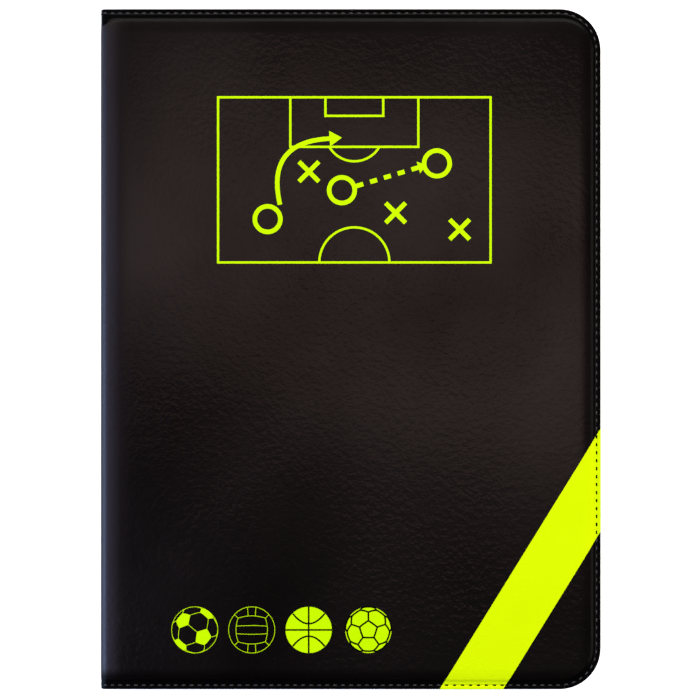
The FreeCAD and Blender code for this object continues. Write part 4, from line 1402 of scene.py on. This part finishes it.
def binding_wrap():
    """The cloth tape: a band folded over the head of the pad from its face to its back."""
    thickness = binding_high.y - sheets_high.y
    back, top = binding_low.z + thickness / 2, binding_high.z - thickness / 2
    head = binding_high.y - thickness / 2
    corners = [(binding_low.y, top), (head, top), (head, back), (binding_low.y, back)]
    places = np.linspace(binding_low.x, binding_high.x, 12)
    return strip(rounded(corners, TAPE_ROUND, 5), thickness, places, along_page)


piece("paper_block", [(paper, paper_block())], "notepad", ("pad_sheets",))
piece("binding_wrap", [(tape, binding_wrap())], "notepad", ("pad_binding",))


# Pitch and tokens

MARK_RISE = 0.00003
PITCH_X = 0.080
PITCH_Y = 0.122
CENTRE_SPOT = 0.0012
PENALTY_SPOT = 0.0009
DISH_DEPTH = 0.00025
DISH_SLOPE = 0.0004
TOKEN_RIM = 0.0012
TOKEN_ROUND = 0.0005
NUMBER_SIZE = 0.0078
NUMBER_RISE = 0.00005
BALL_MARK_SIZE = 0.0033

# A full-size pitch in its own metres
FULL_LENGTH = 105
FULL_AREAS = ((20.16, 16.5), (9.16, 5.5))  # half width and depth of each area before a goal
FULL_SPOT = 11  # goal to the penalty spot
FULL_RING = 9.15
FULL_CORNER = 2


def pitch_marks():
    """The markings of a football pitch in its own proportions: lines, areas, circle, arcs and spots."""
    x, y = PITCH_X, PITCH_Y
    unit = 2 * y / FULL_LENGTH
    ring = FULL_RING * unit
    lines = [np.array([(-x, 0), (x, 0)])]
    fills = [circle((0, 0), CENTRE_SPOT, 24)]
    reach = math.degrees(math.acos((FULL_AREAS[0][1] - FULL_SPOT) / FULL_RING))
    for end in (-1, 1):
        goal = end * y
        for half, depth in np.array(FULL_AREAS) * unit:
            inner = goal - end * depth
            lines.append(np.array([(-half, goal), (-half, inner), (half, inner), (half, goal)]))
        spot = (0, goal - end * FULL_SPOT * unit)
        fills.append(circle(spot, PENALTY_SPOT, 24))
        lines.append(arc(spot, ring, -90 * end - reach, -90 * end + reach))
        for side in (-1, 1):
            start = {(-1, -1): 0, (1, -1): 90, (1, 1): 180, (-1, 1): 270}[side, end]
            lines.append(arc((side * x, goal), FULL_CORNER * unit, start, start + 90, 8))
    return {"lines": lines, "fills": fills, "loops": [square(-x, x, -y, y), circle((0, 0), ring, 64)]}


marks = drawn(pitch_marks(), (0, 0), 1, PITCH_LINE, film_face - MARK_RISE, film_face + MARK_RISE)
piece("pitch_marks", [(white_ink, marks)], "front_cover")


def token_disc(low, high):
    """A token: a disc with a rounded rim round a shallow dish, facing down from the pitch."""
    radius, depth = (high.x - low.x) / 2, high.z - low.z
    centre = np.array([(low.x + high.x) / 2, (low.y + high.y) / 2, high.z])
    dish = depth - DISH_DEPTH
    rim = radius - TOKEN_RIM
    profile = [
        (0, INK_RISE),
        (radius, INK_RISE),
        (radius, depth),
        (rim, depth),
        (rim - DISH_SLOPE, dish),
        (0, dish),
    ]
    return lathe(rounded(profile, TOKEN_ROUND), centre, FACING_DOWN), centre, dish


def number_shape(number, centre, height):
    """A plain number that reads from below: filled letter outlines, thickened, centred and turned over."""
    text = bpy.data.curves.new("number", "FONT")
    text.body = str(number)
    text.size = NUMBER_SIZE
    text.align_x, text.align_y = "CENTER", "CENTER"
    text.extrude = NUMBER_RISE
    holder = bpy.data.objects.new("number", text)
    mesh = bpy.data.meshes.new_from_object(holder)
    points = np.empty(len(mesh.vertices) * 3)
    mesh.vertices.foreach_get("co", points)
    points = points.reshape(-1, 3)
    points[:, :2] -= (points[:, :2].min(axis=0) + points[:, :2].max(axis=0)) / 2
    faces = [list(polygon.vertices) for polygon in mesh.polygons]
    bpy.data.objects.remove(holder)
    bpy.data.curves.remove(text)
    bpy.data.meshes.remove(mesh)
    return [(points * (-1, 1, -1) + centre - (0, 0, height), faces)]


for side, plastic_finish in (("home", red_plastic), ("away", blue_plastic)):
    for number in range(1, 12):
        node = f"{side}_token_{number:02d}"
        disc_shape, centre, dish = token_disc(*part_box(node))
        piece(
            f"{side}_disc_{number:02d}",
            [(plastic_finish, disc_shape), (white_ink, number_shape(number, centre, dish))],
            node, (node,),
        )

disc_shape, centre, dish = token_disc(*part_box("ball_token"))
figure = football()
figure.pop("loops")
dish_face = centre[2] - dish
marks = drawn(figure, centre[:2], BALL_MARK_SIZE, BALL_LINE, dish_face - MARK_RISE, dish_face + MARK_RISE)
piece("ball_disc", [(white_plastic, disc_shape), (dark_ink, marks)], "ball_token", ("ball_token",))


# Pieces of the frame that stay as they are

for node, material in {
    "front_board": board, "back_board": board, "spine_board": board, "steel_sheet": steel,
    "pitch_film": pitch_green, "pad_card": card, "marker_plug": black_plastic, "ink_reservoir": felt,
    "marker_nib": felt,
}.items():
    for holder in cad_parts[node].material_slots:
        holder.material = material


# Stage, light and camera

FLOOR_SIZE = 8.0
FLOOR_DROP = 0.0002
FLOOR_GLOW = (0.8, 1.0)  # under the folder, and away from it
FLOOR_FADE = (0.4, 1.6)  # how far off the glow starts and stops growing
SKY_LIGHT = 0.07
FRAME_PIXELS = 700
PIXEL = 0.0004844  # what one pixel covers on the front
FOLDER_CENTRE = (350.2, 349.15)  # in pixels from the picture's upper left corner
LENS = 85.0
SENSOR = 36.0
OVER_TURN = math.radians(-16)
GLOW_TURN = math.radians(-12)


def floor_finish():
    """A pale floor that takes shadows and looks white where it is lit."""
    made = bpy.data.materials.new("pale_floor")
    made.use_nodes = True
    tree, shader = made.node_tree, shader_of(made)
    shader.inputs["Base Color"].default_value = (0.86, 0.86, 0.86, 1)
    shader.inputs["Roughness"].default_value = 0.9
    shader.inputs["Specular IOR Level"].default_value = 0.0
    shader.inputs["Emission Color"].default_value = (1, 1, 1, 1)
    away = add(tree, "VectorMath", {0: place_of(tree)}, operation="LENGTH").outputs["Value"]
    glow = ranged(tree, away, *FLOOR_GLOW, *FLOOR_FADE)
    seen = add(tree, "LightPath").outputs["Is Camera Ray"]
    tree.links.new(math_node(tree, "MULTIPLY", seen, glow), shader.inputs["Emission Strength"])
    return made


def build_stage():
    """A wide floor just under the folder."""
    mesh = bpy.data.meshes.new("floor")
    half = FLOOR_SIZE / 2
    mesh.from_pydata(flat(square(-half, half, -half, half), -FLOOR_DROP).tolist(), [], [[0, 1, 2, 3]])
    mesh.materials.append(floor_finish())
    floor = bpy.data.objects.new("floor", mesh)
    bpy.context.scene.collection.objects.link(floor)


def soft_box(name, place, target, size, power, colour, turn=0.0):
    """A rectangular lamp that looks from its place at a target, turned about that line."""
    lamp = bpy.data.lights.new(name, "AREA")
    lamp.shape = "RECTANGLE"
    lamp.size, lamp.size_y = size
    lamp.energy = power
    lamp.color = colour
    holder = bpy.data.objects.new(name, lamp)
    bpy.context.scene.collection.objects.link(holder)
    aim = np.array(target) - np.array(place)
    holder.location = place
    holder.rotation_euler = Vector(aim).to_track_quat("-Z", "Y").to_euler()
    holder.rotation_euler.rotate_axis("Z", turn)


def build_light():
    """Soft boxes round the folder, a dim warm one overhead, and an even grey sky that looks white."""
    soft_box("head_light", (0.1, 1.7, 0.95), (0, 0, 0), (2.4, 1.2), 54.0, (1.0, 0.94, 0.86))
    soft_box("spine_light", (-1.35, -0.36, 0.50), (-0.12, -0.1, 0), (1.2, 0.85), 22.0, (0.34, 0.52, 1.0))
    soft_box(
        "spine_glow", (-0.91, -0.26, 1.16), (-0.12, -0.1, 0), (1.4, 1.1), 5.0, (0.60, 0.58, 1.0), GLOW_TURN
    )
    soft_box("fore_light", (1.7, -0.1, 0.85), (0, 0, 0), (1.6, 1.2), 22.5, (1.0, 0.92, 0.82))
    soft_box(
        "over_light", (0.12, 0.12, 1.75), (0.12, 0.12, 0), (0.96, 0.46), 1.24, (1.0, 0.73, 0.64), OVER_TURN
    )
    world = bpy.data.worlds.new("sky")
    world.use_nodes = True
    bpy.context.scene.world = world
    tree = world.node_tree
    sky = tree.nodes["Background"].inputs
    seen = add(tree, "LightPath").outputs["Is Camera Ray"]
    tree.links.new(ranged(tree, seen, SKY_LIGHT, 1.0), sky["Strength"])
    sky["Color"].default_value = (1, 1, 1, 1)


def build_camera():
    """A camera straight over the folder, at the height where one pixel covers its size on the front."""
    lens = bpy.data.cameras.new("camera")
    lens.lens, lens.sensor_width = LENS, SENSOR
    camera = bpy.data.objects.new("camera", lens)
    middle = FRAME_PIXELS / 2
    height = FRAME_PIXELS * PIXEL * LENS / SENSOR
    x, y = (middle - FOLDER_CENTRE[0]) * PIXEL, (FOLDER_CENTRE[1] - middle) * PIXEL
    camera.location = (x, y, FRONT_Z + height)
    bpy.context.scene.collection.objects.link(camera)
    bpy.context.scene.camera = camera


build_stage()
build_light()
build_camera()
bpy.context.scene.view_settings.view_transform = "Standard"
